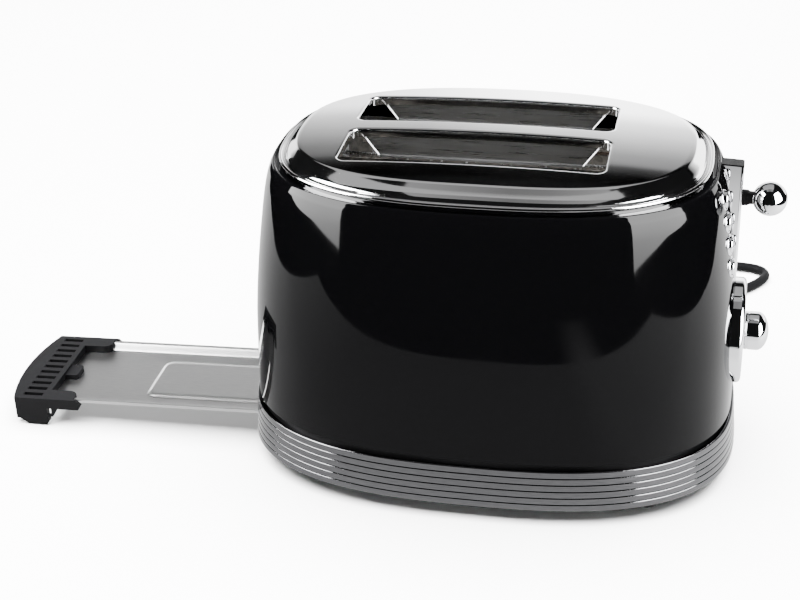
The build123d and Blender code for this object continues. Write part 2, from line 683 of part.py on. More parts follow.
def dial_knob():
    """Bullet-shaped browning knob, bored for its shaft."""
    rise = KNOB_END_X - KNOB_STRAIGHT_X
    outline = [Line((KNOB_START_X, 0), (KNOB_START_X, KNOB_RADIUS)),
               Line((KNOB_START_X, KNOB_RADIUS), (KNOB_STRAIGHT_X, KNOB_RADIUS)),
               EllipticalCenterArc((KNOB_STRAIGHT_X, 0), rise, KNOB_RADIUS, start_angle=0, arc_size=90),
               Line((KNOB_END_X, 0), (KNOB_START_X, 0))]
    knob = revolve(make_face(Wire(outline)), Axis.X)
    knob = Pos(0, 0, DIAL_Z) * knob
    return knob - rod_x((KNOB_START_X - 1, KNOB_STRAIGHT_X), 0, DIAL_Z, SHAFT_RADIUS)


def tray_section(x_low, x_high):
    """The tray's folded sheet: floor, sloping sides and narrow rims, between two x limits."""
    floor = TRAY_RIM_Z - TRAY_DEPTH
    t = TRAY_SHEET
    half = [(TRAY_FLOOR_HALF, floor), (TRAY_FLOOR_HALF + 3.1, TRAY_RIM_Z), (TRAY_HALF, TRAY_RIM_Z),
            (TRAY_HALF, TRAY_RIM_Z - t), (TRAY_FLOOR_HALF + 3.9, TRAY_RIM_Z - t),
            (TRAY_FLOOR_HALF + 0.8, floor - t)]
    points = half + [(-y, z) for y, z in reversed(half)]
    outline = make_face(Polyline(*[(0, y, z) for y, z in points], close=True))
    return Pos(x_low, 0, 0) * extrude(outline, amount=x_high - x_low, dir=(1, 0, 0))


def crumb_tray():
    """Plain sheet tray with a shallow raised panel, turned up at its inner end."""
    floor = TRAY_RIM_Z - TRAY_DEPTH
    tray = tray_section(HANDLE_BACK_X, TRAY_INNER_X)
    length = TRAY_INNER_X - 12 - EMBOSS_X
    centre = (EMBOSS_X + length / 2, 0, floor)
    swell = Pos(*centre) * RectangleRounded(length, 2 * EMBOSS_HALF, EMBOSS_CORNER)
    boss = extrude(swell, amount=EMBOSS_HEIGHT, taper=45)
    hollow = Pos(*centre) * RectangleRounded(length - 0.7, 2 * EMBOSS_HALF - 0.7, EMBOSS_CORNER - 0.35)
    hollow = extrude(Pos(0, 0, -TRAY_SHEET) * hollow, amount=EMBOSS_HEIGHT, taper=45)
    tray = tray + boss - hollow
    tray += box((TRAY_INNER_X - TRAY_SHEET, TRAY_INNER_X), (-TRAY_FLOOR_HALF, TRAY_FLOOR_HALF), (floor, TRAY_RIM_Z))
    return tilt(tray)


def side_plate(points, y_low, y_high):
    """A plate between two y limits whose side view is a list of (x, z) points."""
    outline = make_face(Polyline(*[(x, 0, z) for x, z in points], close=True))
    return Pos(0, y_low, 0) * extrude(outline, amount=y_high - y_low, dir=(0, 1, 0))


def handle_block():
    """The handle's outside: its cheek's side view, cut to the curve of its face."""
    x, top, low = HANDLE_BACK_X, HANDLE_TOP_Z, HANDLE_LOW_Z
    points = [(HANDLE_FACE_X, top), (x, top), (x, low + 5.4), (x + 0.6, low + 2.4), (x - 1.3, low),
              (x - 13.2, low), (x - 18.4, low + 3.6), (HANDLE_FACE_X, low + 3.6)]
    block = side_plate(points, -HANDLE_HALF, HANDLE_HALF)
    return block & (Pos(HANDLE_FACE_X + HANDLE_FACE_RADIUS, 0, 0) * Cylinder(HANDLE_FACE_RADIUS, 80))


def handle_clasps(side):
    """What holds one edge of the tray: a wing over its rim, an outer finger and a hook under the finger."""
    x, floor = HANDLE_BACK_X, TRAY_RIM_Z - TRAY_DEPTH
    inner_y, outer_y = sorted((side * WING_INNER_Y, side * (HANDLE_HALF - FINGER_THICKNESS)))
    wing = box((x - 1, WING_END_X), (inner_y, outer_y), (floor, HANDLE_TOP_Z))
    corner = wing.edges().filter_by(Axis.Z).group_by(Axis.X)[-1].sort_by(Axis.Y)[0 if side > 0 else -1]
    wing = fillet(corner, 5.5) - tray_section(x, WING_END_X + 1)
    low_y, high_y = sorted((side * (HANDLE_HALF - FINGER_THICKNESS), side * HANDLE_HALF))
    end, low = FINGER_END_X, FINGER_LOW_Z
    finger = side_plate([(x - 1, HANDLE_TOP_Z), (end - 3.2, HANDLE_TOP_Z), (end, low + 3.6), (end - 2.3, low),
                         (x - 1, low)], low_y, high_y)
    hook = side_plate([(x + 2.7, low + 0.1), (x + 7.0, low + 0.1), (x + 3.5, low - 5.5), (x - 1, low - 5.9),
                       (x - 1, low - 4.4), (x + 2.7, low - 4.0)], low_y, high_y)
    return wing + finger + hook


def tray_handle():
    """Black moulded handle: a curved face, a slotted top, a hollow back and clasps on the tray."""
    back = HANDLE_BACK_X
    under_top = HANDLE_TOP_Z - HANDLE_WALL
    block = handle_block()
    block -= box((LOUVRE_OUTER_X - 1.5, back - HANDLE_WALL), (-HANDLE_HALF + HANDLE_WALL, HANDLE_HALF - HANDLE_WALL),
                 (0, under_top))
    block -= box((LOUVRE_OUTER_X - 1.5, back + 1), (-TRAY_HALF + 1.4, TRAY_HALF - 1.4),
                 (0, TRAY_RIM_Z - TRAY_DEPTH - 1.8))
    for n in range(LOUVRE_COUNT):
        y = (n - (LOUVRE_COUNT - 1) / 2) * LOUVRE_PITCH
        block -= box((LOUVRE_OUTER_X, LOUVRE_INNER_X), (y - LOUVRE_WIDTH / 2, y + LOUVRE_WIDTH / 2),
                     (under_top - 1, HANDLE_TOP_Z + 1))
    for side in (-1, 1):
        block += handle_clasps(side)
    floor = TRAY_RIM_Z - TRAY_DEPTH
    tab = box((back - 1, back + 8), (-7, 6), (floor, floor + 3.2))
    block += fillet(tab.edges().filter_by(Axis.Z).group_by(Axis.X)[-1], 2.0)
    return tilt(block)


def tray_rails():
    """Two sheet runners, on the base, that carry the tray's rims."""
    rails = []
    for side in (-1, 1):
        ledge = box((RAIL_START_X, RAIL_END_X), sorted((side * RAIL_LEDGE_Y, side * RAIL_OUTER_Y)),
                    (TRAY_RIM_Z - 2.0, TRAY_RIM_Z - 1.0))
        web = box((RAIL_START_X, RAIL_END_X), sorted((side * RAIL_WEB_Y, side * RAIL_OUTER_Y)),
                  (-5, TRAY_RIM_Z + 2.0))
        rail = tilt(ledge + web)
        floor_z = FOOT_HEIGHT + PAN_THICKNESS
        rails.append(rail - box((-130, 130), (-60, 60), (-30, floor_z)))
    return Compound(children=rails)


def gland_bore():
    """The hole that the cord gland fills, through the ring and the base wall."""
    return Pos(GLAND_X, 90, GLAND_Z) * Rot(90, 0, 0) * Cylinder(GLAND_RADIUS, 50)


def cord_gland():
    """Tapered rubber relief with a flange outside the base ring and one inside."""
    cone = Cone(GLAND_RADIUS, CORD_RADIUS + 0.9, GLAND_END_Y - GLAND_START_Y,
                align=(Align.CENTER, Align.CENTER, Align.MIN))
    taper = Pos(GLAND_X, GLAND_START_Y, GLAND_Z) * Rot(-90, 0, 0) * cone
    neck = Pos(GLAND_X, 85, GLAND_Z) * Rot(-90, 0, 0) * Cylinder(GLAND_RADIUS, 20)
    inner = Pos(GLAND_X, 76, GLAND_Z) * Rot(-90, 0, 0) * Cylinder(GLAND_FLANGE_RADIUS, 3)
    return taper + neck + inner


def round_path(points):
    """Straight runs joined by arcs, each as large as its two runs allow; prints the arc radii."""
    vectors = [Vector(*p) for p in points]
    radii = []
    for before, here, after in zip(vectors, vectors[1:], vectors[2:]):
        first = here - before
        second = after - here
        half_turn = math.radians(first.get_angle(second) / 2)
        radii.append(0.45 * min(first.length, second.length) / math.tan(half_turn))
    print("arc radii in diameters:", [round(r / CORD_DIAMETER, 1) for r in radii])
    return FilletPolyline(*points, radius=radii)


def tube(path, name):
    """A round tube along a path; prints its length and how its volume compares with the section's."""
    start = path @ 0
    section = Plane(origin=start, z_dir=path % 0) * Circle(CORD_RADIUS)
    solid = sweep(section, path=path)
    ratio = solid.volume / (math.pi * CORD_RADIUS ** 2 * path.length)
    print(name, "length", round(path.length, 1), "volume ratio", round(ratio, 4))
    return solid


def half_turn_arc(start, radius, going):
    """A level half circle from a point, anticlockwise, whose far end is two radii away in y."""
    x, y, z = start
    sign = -1 if going == "down" else 1
    middle = (x + sign * radius, y + sign * radius, z)
    return ThreePointArc(start, middle, (x, y + sign * 2 * radius, z))


def climb_arcs(start, radius, rise):
    """A half turn that climbs one layer: two mirror-image quarter arcs in space."""
    x, y, z = start
    reach = math.sqrt(radius ** 2 + rise ** 2 / 4)
    middle = (x + reach, y + radius, z + rise / 2)
    end = (x, y + 2 * radius, z + rise)
    first = TangentArc(start, middle, tangent=(1, 0, 0))
    second = TangentArc(end, middle, tangent=(1, 0, 0))
    return [first, second]


def coil_path():
    """The put-away length: a level spiral in, a climbing half turn and a level spiral out."""
    half_pitch = COIL_PITCH / 2
    y = COIL_START_Y
    edges = [Line((COIL_X + CORD_DIAMETER + 0.8, y, COIL_Z), (COIL_X, y, COIL_Z))]
    radius = COIL_RADIUS
    for going in ("down", "up", "down"):
        edges.append(half_turn_arc((COIL_X, y, COIL_Z), radius, going))
        y += -2 * radius if going == "down" else 2 * radius
        radius -= half_pitch
    edges += climb_arcs((COIL_X, y, COIL_Z), radius, COIL_PITCH)
    y += 2 * radius
    upper = COIL_Z + COIL_PITCH
    for going in ("down", "up"):
        radius += half_pitch
        edges.append(half_turn_arc((COIL_X, y, upper), radius, going))
        y += -2 * radius if going == "down" else 2 * radius
    edges.append(Line((COIL_X, y, upper), (COIL_X - CORD_DIAMETER - 0.8, y, upper)))
    return Wire(edges)


def least_gap(path):
    """Least clear distance between turns, measured on points a sixth of a turn or more apart."""
    count = 700
    points = [path @ (n / count) for n in range(count + 1)]
    skip = int(count * (math.pi * COIL_RADIUS / 2) / path.length)
    least = 1e9
    for n, p in enumerate(points):
        for q in points[n + skip:]:
            least = min(least, (p - q).length)
    return least - CORD_DIAMETER


def cord_coil():
    """The coil as one unbroken tube."""
    path = coil_path()
    print("coil gap to itself", round(least_gap(path), 2))
    return tube(path, "coil")


def cord_tie():
    """Strap round the bundled turns on the side away from the object's lever end."""
    low_x = COIL_X - COIL_RADIUS - CORD_RADIUS - 0.4
    high_x = COIL_X - COIL_RADIUS + COIL_PITCH + CORD_RADIUS + 1.9
    low_z = COIL_Z - CORD_RADIUS - 0.05
    high_z = COIL_Z + COIL_PITCH + CORD_RADIUS + 0.4
    outer = box((low_x - 0.6, high_x + 0.6), (193, 204), (low_z - 0.6, high_z + 0.6))
    return outer - box((low_x, high_x), (190, 215), (low_z, high_z))


def plug_frame():
    """The plug's own frame: its cord entry at the tail's end, its pins pointing the way the cord goes."""
    end = Vector(*TAIL_ROUTE[-1])
    way = (end - Vector(*TAIL_ROUTE[-2])).normalized()
    return Plane(origin=end, z_dir=(way.X, way.Y, 0), x_dir=(0, 0, 1))


def plug_body():
    """Moulded mains plug: a tapered boot and a rounded body."""
    boot = Cone(4.6, 7.2, 26, align=(Align.CENTER, Align.CENTER, Align.MIN))
    body = loft([Pos(0, 0, 25) * RectangleRounded(15, 17, 5), Pos(0, 0, 35) * RectangleRounded(22, 31, 8),
                 Pos(0, 0, 52) * RectangleRounded(23, 35, 9)])
    body += extrude(Pos(0, 0, 52) * RectangleRounded(23, 35, 9), amount=8)
    return plug_frame() * (boot + body)


def plug_pins():
    """Two round pins."""
    pins = []
    for y in (-9.5, 9.5):
        pin = Pos(0, y, 60) * Cylinder(2.4, 19, align=(Align.CENTER, Align.CENTER, Align.MIN))
        pins.append(plug_frame() * fillet(pin.edges().group_by(Axis.Z)[-1], 1.2))
    return Compound(children=pins)


def terminal_block():
    """Block inside the base where the lead's cores join the toaster's wires."""
    return box((75, 92), (60, 71), (RAIL_TOP, RAIL_TOP + 12))


def cores():
    """The lead's three inner cores, from the gland to the terminal block."""
    group = []
    for n in range(3):
        x = GLAND_X - 3 + 3 * n
        group.append(Pos(x, 72.75, GLAND_Z) * Rot(90, 0, 0) * Cylinder(1.1, 3.5))
    return Compound(children=group)


def make_parts():
    """Every sub-part under its own name."""
    outer = shell_block()
    parts = {
        "body_shell": body_shell(outer),
        "top_plate": top_plate(),
        "slot_guides": slot_guides(),
        "base_ring": base_ring(),
        "base_pan": base_pan(),
        "feet": feet(),
        "base_screws": base_screws(),
        "chassis_rails": chassis_rails(),
        "front_frame": front_frame(),
        "rear_frame": end_frame(REAR_FRAME_X),
        "side_reflectors": side_reflectors(),
        "mica_boards": mica_boards(),
        "heating_ribbons": heating_ribbons(),
        "bread_cages": bread_cages(),
        "bread_rack_near": bread_rack(-1),
        "bread_rack_far": bread_rack(1),
        "carriage_plate": carriage_plate(),
        "latch_armature": latch_armature(),
        "electromagnet": electromagnet(),
        "guide_rods": guide_rods(),
        "carriage_spring": carriage_spring(),
        "lever_arm": lever_arm(),
        "lever_ball": lever_ball(),
        "lever_housing": lever_housing(outer),
        "housing_cap": housing_cap(outer),
        "button_bezel": button_bezel(outer),
        "button_guide": button_guide(),
        "circuit_board": circuit_board(),
        "board_brackets": board_brackets(),
        "button_switches": button_switches(),
        "dial_potentiometer": dial_potentiometer(),
        "potentiometer_shaft": potentiometer_shaft(),
        "dial_bezel": dial_bezel(outer),
        "dial_knob": dial_knob(),
        "crumb_tray": crumb_tray(),
        "tray_handle": tray_handle(),
        "tray_rails": tray_rails(),
        "cord_gland": cord_gland(),
        "cord": tube(round_path(CORD_ROUTE), "cord"),
        "cord_coil": cord_coil(),
        "cord_tail": tube(round_path(TAIL_ROUTE), "tail"),
        "cord_tie": cord_tie(),
        "plug_body": plug_body(),
        "plug_pins": plug_pins(),
        "terminal_block": terminal_block(),
        "lead_cores": cores(),
    }
    for name, z in zip(BUTTON_NAMES, BUTTON_Z):
        parts[name] = push_button(z)
    return parts


os.makedirs("parts", exist_ok=True)
for node, shape in make_parts().items():
    export_step(shape, f"parts/{node}.step")
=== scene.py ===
import math

import bmesh
import bpy
import numpy as np
from mathutils import Matrix


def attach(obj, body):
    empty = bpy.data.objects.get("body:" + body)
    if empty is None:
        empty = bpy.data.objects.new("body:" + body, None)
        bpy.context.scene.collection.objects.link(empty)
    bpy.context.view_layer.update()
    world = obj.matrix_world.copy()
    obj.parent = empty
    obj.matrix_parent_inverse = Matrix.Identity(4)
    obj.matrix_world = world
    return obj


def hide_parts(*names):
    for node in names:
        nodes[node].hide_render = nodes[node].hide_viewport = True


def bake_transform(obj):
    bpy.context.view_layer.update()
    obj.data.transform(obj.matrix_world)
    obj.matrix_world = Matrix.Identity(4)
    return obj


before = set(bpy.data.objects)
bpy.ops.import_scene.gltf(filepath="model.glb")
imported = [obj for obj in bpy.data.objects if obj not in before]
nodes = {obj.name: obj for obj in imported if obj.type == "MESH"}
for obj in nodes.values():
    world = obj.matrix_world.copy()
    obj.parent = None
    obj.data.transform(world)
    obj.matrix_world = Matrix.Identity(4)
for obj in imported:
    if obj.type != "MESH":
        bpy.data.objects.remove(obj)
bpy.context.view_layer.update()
collection = bpy.context.scene.collection
MM = 0.001

# The toaster's plan is a rounded oval: its half width is OVAL_RATIO times its half length
OVAL_RATIO = 0.6985
OVAL_POWER = 2.63
OVAL_STEPS = 384

LEVER_Z = 162.2
DIAL_Z = 80.0


# The camera stands where the photograph was taken, worked out from the toaster's own lines

def place_camera():
    """A long lens about 1.0 m away, 27 degrees above level and 12 degrees round towards the lever end."""
    focal_pixels, picture_pixels = 1700.0, 800.0
    camera = bpy.data.objects.new("camera", bpy.data.cameras.new("camera"))
    collection.objects.link(camera)
    camera.data.sensor_width = 36.0
    camera.data.lens = focal_pixels * camera.data.sensor_width / picture_pixels
    camera.data.clip_end = 50.0
    right = (0.98096761, 0.19302257, -0.02109094)
    up = (-0.0698531, 0.45216268, 0.88919596)
    back = (0.18117143, -0.87079917, 0.45704017)
    place = (0.12531, -0.87495, 0.54267)
    camera.matrix_world = Matrix([(right[n], up[n], back[n], place[n]) for n in range(3)] + [(0, 0, 0, 1)])
    bpy.context.scene.camera = camera


place_camera()


# Shapes

def through(points, count):
    """A smooth line through points: each span is a cubic whose slope at a point is that of the
    chord between its two neighbours, with the distance between points as the parameter."""
    p = np.asarray(points, float)
    t = np.concatenate([[0], np.cumsum(np.linalg.norm(np.diff(p, axis=0), axis=1))])
    slope = np.empty_like(p)
    slope[1:-1] = (p[2:] - p[:-2]) / (t[2:] - t[:-2])[:, None]
    slope[0] = (p[1] - p[0]) / (t[1] - t[0])
    slope[-1] = (p[-1] - p[-2]) / (t[-1] - t[-2])
    s = np.linspace(0, t[-1], count)
    k = np.clip(np.searchsorted(t, s, side="right") - 1, 0, len(t) - 2)
    h = (t[k + 1] - t[k])[:, None]
    u = ((s - t[k]) / (t[k + 1] - t[k]))[:, None]
    return ((2 * u ** 3 - 3 * u ** 2 + 1) * p[k] + (u ** 3 - 2 * u ** 2 + u) * h * slope[k]
            + (3 * u ** 2 - 2 * u ** 3) * p[k + 1] + (u ** 3 - u ** 2) * h * slope[k + 1])


def oval_at(t):
    """A point of the unit oval: cosine and sine of t, each raised to two over the oval's power,
    with the sine's side scaled to the half width."""
    c, s = np.cos(t), np.sin(t)
    x = np.sign(c) * np.abs(c) ** (2 / OVAL_POWER)
    y = OVAL_RATIO * np.sign(s) * np.abs(s) ** (2 / OVAL_POWER)
    return np.stack([x, y], -1)


def oval_steps(count, extra=()):
    """Parameter values that stand evenly along the oval's length, and a few more that are asked for."""
    dense = np.linspace(0, 2 * np.pi, 16385)
    length = np.concatenate([[0], np.cumsum(np.linalg.norm(np.diff(oval_at(dense), axis=0), axis=1))])
    even = np.interp(np.arange(count) * length[-1] / count, length, dense)
    return np.unique(np.round(np.concatenate([even, np.mod(extra, 2 * np.pi)]), 9))


def step_at_width(y, half_length, at_left_end):
    """The parameter where the oval of a half length has a given y, at its left or right end."""
    s = np.sign(y) * (abs(y) / (half_length * OVAL_RATIO)) ** (OVAL_POWER / 2)
    t = math.asin(s)
    return math.pi - t if at_left_end else t


def grid_faces(rows, cols, wrap_cols=False, keep=None):
    """The four-sided faces of a grid of points, numbered row by row, as an array of corners."""
    i = np.arange(rows - 1)
    j = np.arange(cols if wrap_cols else cols - 1)
    i, j = [g.ravel() for g in np.meshgrid(i, j, indexing="ij")]
    if keep is not None:
        chosen = keep(i, j)
        i, j = i[chosen], j[chosen]
    j2 = (j + 1) % cols
    return np.stack([i * cols + j, i * cols + j2, (i + 1) * cols + j2, (i + 1) * cols + j], 1)


def new_piece(name, points, faces, outward=False):
    """Puts points, in millimetres, and faces into a mesh that sits at the origin, with doubled points joined."""
    mesh = bpy.data.meshes.new(name)
    mesh.from_pydata((np.asarray(points, float).reshape(-1, 3) * MM).tolist(), [], np.asarray(faces).tolist())
    work = bmesh.new()
    work.from_mesh(mesh)
    bmesh.ops.remove_doubles(work, verts=work.verts, dist=2e-6)
    bmesh.ops.dissolve_degenerate(work, edges=work.edges, dist=1e-7)
    if outward:
        bmesh.ops.recalc_face_normals(work, faces=work.faces)
    work.to_mesh(mesh)
    work.free()
    piece = bpy.data.objects.new(name, mesh)
    collection.objects.link(piece)
    return piece


def make_piece(name, points, faces, finish, body="toaster_body", stands_for=(), sharp=35.0,
               thickness=0.0, even=True, outward=False):
    """A finished piece, smooth except across folds sharper than an angle; a sheet gets its thickness on
    the side away from its normals."""
    piece = new_piece(name, points, faces, outward)
    if thickness:
        wall = piece.modifiers.new("wall", "SOLIDIFY")
        wall.thickness = thickness * MM
        wall.offset = -1.0
        wall.use_even_offset = even
        wall.use_rim = True
        settle(piece)
    return dress(piece, finish, body, stands_for, sharp)


def settle(piece):
    """Turns a piece's modifiers into plain mesh."""
    bpy.context.view_layer.update()
    solid = bpy.data.meshes.new_from_object(piece.evaluated_get(bpy.context.evaluated_depsgraph_get()))
    solid.name = piece.name
    piece.modifiers.clear()
    piece.data = solid


def dress(piece, finish, body="toaster_body", stands_for=(), sharp=35.0):
    """Gives a piece its smooth faces, its finish, the body it rides on and the nodes it stands for."""
    mesh = piece.data
    mesh.polygons.foreach_set("use_smooth", np.ones(len(mesh.polygons), bool))
    if sharp:
        mesh.set_sharp_from_angle(angle=math.radians(sharp))
    mesh.materials.clear()
    mesh.materials.append(finish)
    if body:
        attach(piece, body)
    if stands_for:
        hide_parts(*stands_for)
    return piece


def axes_for(direction):
    """A direction that isn't upright, and the two square to it and to each other; the three are right-handed."""
    d = np.asarray(direction, float) / np.linalg.norm(direction)
    across = np.cross((0.0, 0.0, 1.0), d)
    across /= np.linalg.norm(across)
    return d, across, np.cross(d, across)


def turned(origin, direction, profile, around=96):
    """A turned form: each (distance along, radius) of the profile is a ring round the direction."""
    d, e1, e2 = axes_for(direction)
    t = np.linspace(0, 2 * np.pi, around, endpoint=False)
    ring = np.cos(t)[:, None] * e1 + np.sin(t)[:, None] * e2
    profile = np.asarray(profile, float)
    points = np.asarray(origin, float) + profile[:, None, :1] * d + profile[:, None, 1:2] * ring
    return points, grid_faces(len(profile), around, wrap_cols=True)


def rounded_square(around, power):
    """The cosine and sine of a whole turn, each raised to a power with its sign kept: under one, the circle
    swells into a square with round corners."""
    t = np.linspace(0, 2 * np.pi, around, endpoint=False)
    c, s = np.cos(t), np.sin(t)
    return np.sign(c) * np.abs(c) ** power, np.sign(s) * np.abs(s) ** power


def arc(centre, radii, start, end, count):
    """Points of an ellipse's arc, from a start to an end angle in degrees."""
    t = np.radians(np.linspace(start, end, count))
    return np.stack([centre[0] + radii[0] * np.cos(t), centre[1] + radii[1] * np.sin(t)], -1)


# Finishes

SOFT_BLACK = (0.0022, 0.0022, 0.0024)


def new_finish(name, metallic, colour=None, roughness=None, ior=1.5):
    """A plain surface, its finish and its shader; a colour or roughness that isn't given is fed by a grain."""
    finish = bpy.data.materials.new(name)
    finish.use_nodes = True
    shader = finish.node_tree.nodes["Principled BSDF"]
    shader.inputs["Metallic"].default_value = metallic
    shader.inputs["IOR"].default_value = ior
    if colour:
        shader.inputs["Base Color"].default_value = (*colour, 1)
    if roughness:
        shader.inputs["Roughness"].default_value = roughness
    return finish, shader


def texture(shader, kind, scale, stretch=(1, 1, 1)):
    """A texture on the object's own coordinates, stretched along its axes; gives the node."""
    tree = shader.id_data
    place = tree.nodes.new("ShaderNodeTexCoord")
    mapping = tree.nodes.new("ShaderNodeMapping")
    mapping.inputs["Scale"].default_value = stretch
    pattern = tree.nodes.new(kind)
    pattern.inputs["Scale"].default_value = scale
    tree.links.new(place.outputs["Object"], mapping.inputs["Vector"])
    tree.links.new(mapping.outputs["Vector"], pattern.inputs["Vector"])
    return pattern


def grain(shader, scale, stretch=(1, 1, 1), detail=3.0, distortion=0.0):
    """Noise; gives its socket."""
    noise = texture(shader, "ShaderNodeTexNoise", scale, stretch)
    noise.inputs["Detail"].default_value = detail
    noise.inputs["Distortion"].default_value = distortion
    return noise.outputs["Fac"]


def roughen(shader, source, low, high, start=0.3, end=0.7):
    """Runs the roughness between two values as a grain goes from start to end."""
    tree = shader.id_data
    ramp = tree.nodes.new("ShaderNodeMapRange")
    ramp.inputs["From Min"].default_value = start
    ramp.inputs["From Max"].default_value = end
    ramp.inputs["To Min"].default_value = low
    ramp.inputs["To Max"].default_value = high
    tree.links.new(source, ramp.inputs["Value"])
    tree.links.new(ramp.outputs["Result"], shader.inputs["Roughness"])


def tint(shader, source, dark, light, start=0.3, end=0.7):
    """Runs the colour between two colours as a grain goes from start to end."""
    tree = shader.id_data
    ramp = tree.nodes.new("ShaderNodeValToRGB")
    ramp.color_ramp.elements[0].position = start
    ramp.color_ramp.elements[0].color = (*dark, 1)
    ramp.color_ramp.elements[1].position = end
    ramp.color_ramp.elements[1].color = (*light, 1)
    tree.links.new(source, ramp.inputs["Fac"])
    tree.links.new(ramp.outputs["Color"], shader.inputs["Base Color"])


def relief(shader, source, depth, strength):
    """Raises a grain as bumps of a depth in metres."""
    tree = shader.id_data
    bump = tree.nodes.new("ShaderNodeBump")
    bump.inputs["Strength"].default_value = strength
    bump.inputs["Distance"].default_value = depth
    tree.links.new(source, bump.inputs["Height"])
    tree.links.new(bump.outputs["Normal"], shader.inputs["Normal"])


def black_enamel():
    """High-gloss black enamel: deep black, a faint long wave as baked enamel has, a few soft handling marks."""
    finish, shader = new_finish("black_enamel", 0.0, (0.0006, 0.0006, 0.0007), ior=1.2)
    marks = grain(shader, 34, (1, 1, 0.6), detail=6, distortion=0.4)
    roughen(shader, marks, 0.03, 0.07, 0.35, 0.75)
    wave = grain(shader, 90, detail=1)
    relief(shader, wave, 0.000003, 0.3)
    return finish


def polished_top_steel():
    """Polished stainless sheet: bright, with a fine buffed grain and faint cloudy patches."""
    finish, shader = new_finish("polished_top_steel", 1.0)
    cloud = grain(shader, 18, detail=4)
    roughen(shader, cloud, 0.05, 0.09)
    lines = grain(shader, 900, (0.03, 1, 1), detail=2)
    relief(shader, lines, 0.000002, 0.25)
    tint(shader, cloud, (0.70, 0.70, 0.71), (0.78, 0.78, 0.78))
    return finish


def bright_chrome():
    """Plated chrome: mirror bright, slightly cool, with hairline polishing marks."""
    finish, shader = new_finish("bright_chrome", 1.0, (0.80, 0.805, 0.82))
    marks = grain(shader, 140, detail=5)
    roughen(shader, marks, 0.02, 0.06)
    return finish


def satin_ring_metal():
    """Satin grey plated ring: dull metal with a fine level grain."""
    finish, shader = new_finish("satin_ring_metal", 1.0)
    lines = grain(shader, 700, (0.25, 0.25, 3.0), detail=2)
    roughen(shader, lines, 0.09, 0.13)
    tint(shader, lines, (0.115, 0.115, 0.12), (0.145, 0.145, 0.15))
    relief(shader, lines, 0.000008, 0.3)
    return finish


def moulded_black():
    """Black moulded plastic with a fine spark-eroded grain."""
    finish, shader = new_finish("moulded_black", 0.0, SOFT_BLACK, ior=1.12)
    sand = grain(shader, 1500, detail=2)
    relief(shader, sand, 0.00003, 0.5)
    cloud = grain(shader, 60, detail=3)
    roughen(shader, cloud, 0.36, 0.5)
    return finish


def glossy_black():
    """Smooth black moulding of the lever's arm and the housing's cap, with faint mould marks."""
    finish, shader = new_finish("glossy_black", 0.0, (0.0012, 0.0012, 0.0013), ior=1.15)
    marks = grain(shader, 300, detail=4)
    roughen(shader, marks, 0.16, 0.26)
    return finish


def cord_rubber():
    """Matt black flex covering."""
    finish, shader = new_finish("cord_rubber", 0.0, SOFT_BLACK, ior=1.1)
    sand = grain(shader, 900, detail=3)
    relief(shader, sand, 0.00004, 0.35)
    roughen(shader, sand, 0.42, 0.58)
    return finish


def foot_rubber():
    """Soft grey-black rubber with a dusty bloom."""
    finish, shader = new_finish("foot_rubber", 0.0, roughness=0.75, ior=1.2)
    bloom = grain(shader, 220, detail=5)
    tint(shader, bloom, (0.004, 0.004, 0.004), (0.008, 0.008, 0.008))
    relief(shader, bloom, 0.00005, 0.4)
    return finish


def rolled_tray_steel():
    """Plain bright tray sheet: rolling marks along its length, a pale even sheen."""
    finish, shader = new_finish("rolled_tray_steel", 1.0)
    lines = grain(shader, 1500, (0.12, 1, 1), detail=2)
    roughen(shader, lines, 0.29, 0.34)
    tint(shader, lines, (0.46, 0.46, 0.465), (0.53, 0.53, 0.525))
    relief(shader, lines, 0.000002, 0.3)
    return finish


def brushed_guide_steel():
    """Brushed sheet of the bread guides and racks: long scratches along the slot."""
    finish, shader = new_finish("brushed_guide_steel", 1.0)
    lines = grain(shader, 1100, (0.03, 1, 1.2), detail=3)
    roughen(shader, lines, 0.26, 0.32)
    tint(shader, lines, (0.24, 0.24, 0.24), (0.30, 0.30, 0.30))
    relief(shader, lines, 0.0000002, 0.2)
    return finish


def spangled_zinc():
    """Zinc-plated chassis sheet with its pale crystal spangle."""
    finish, shader = new_finish("spangled_zinc", 1.0)
    tree = shader.id_data
    cells = texture(shader, "ShaderNodeTexVoronoi", 160)
    separate = tree.nodes.new("ShaderNodeSeparateColor")
    tree.links.new(cells.outputs["Color"], separate.inputs["Color"])
    roughen(shader, separate.outputs["Red"], 0.3, 0.5, 0, 1)
    tint(shader, separate.outputs["Red"], (0.42, 0.43, 0.44), (0.56, 0.57, 0.58), 0, 1)
    return finish


def flecked_mica():
    """Pressed mica board: dark grey-brown, with paler flakes."""
    finish, shader = new_finish("flecked_mica", 0.0, roughness=0.4)
    flakes = grain(shader, 320, detail=6, distortion=1.2)
    tint(shader, flakes, (0.03, 0.028, 0.025), (0.075, 0.07, 0.062), 0.38, 0.62)
    relief(shader, flakes, 0.00003, 0.4)
    return finish


def heater_metal():
    """Dull resistance ribbon, browned where it has been hot."""
    finish, shader = new_finish("heater_metal", 1.0, roughness=0.45)
    heat = grain(shader, 50, detail=3)
    tint(shader, heat, (0.20, 0.15, 0.12), (0.40, 0.37, 0.35))
    return finish


def drawn_wire():
    """Bright drawn steel wire and rod."""
    finish, shader = new_finish("drawn_wire", 1.0, (0.62, 0.62, 0.62))
    lines = grain(shader, 800, (1, 1, 0.1), detail=2)
    roughen(shader, lines, 0.18, 0.34)
    return finish


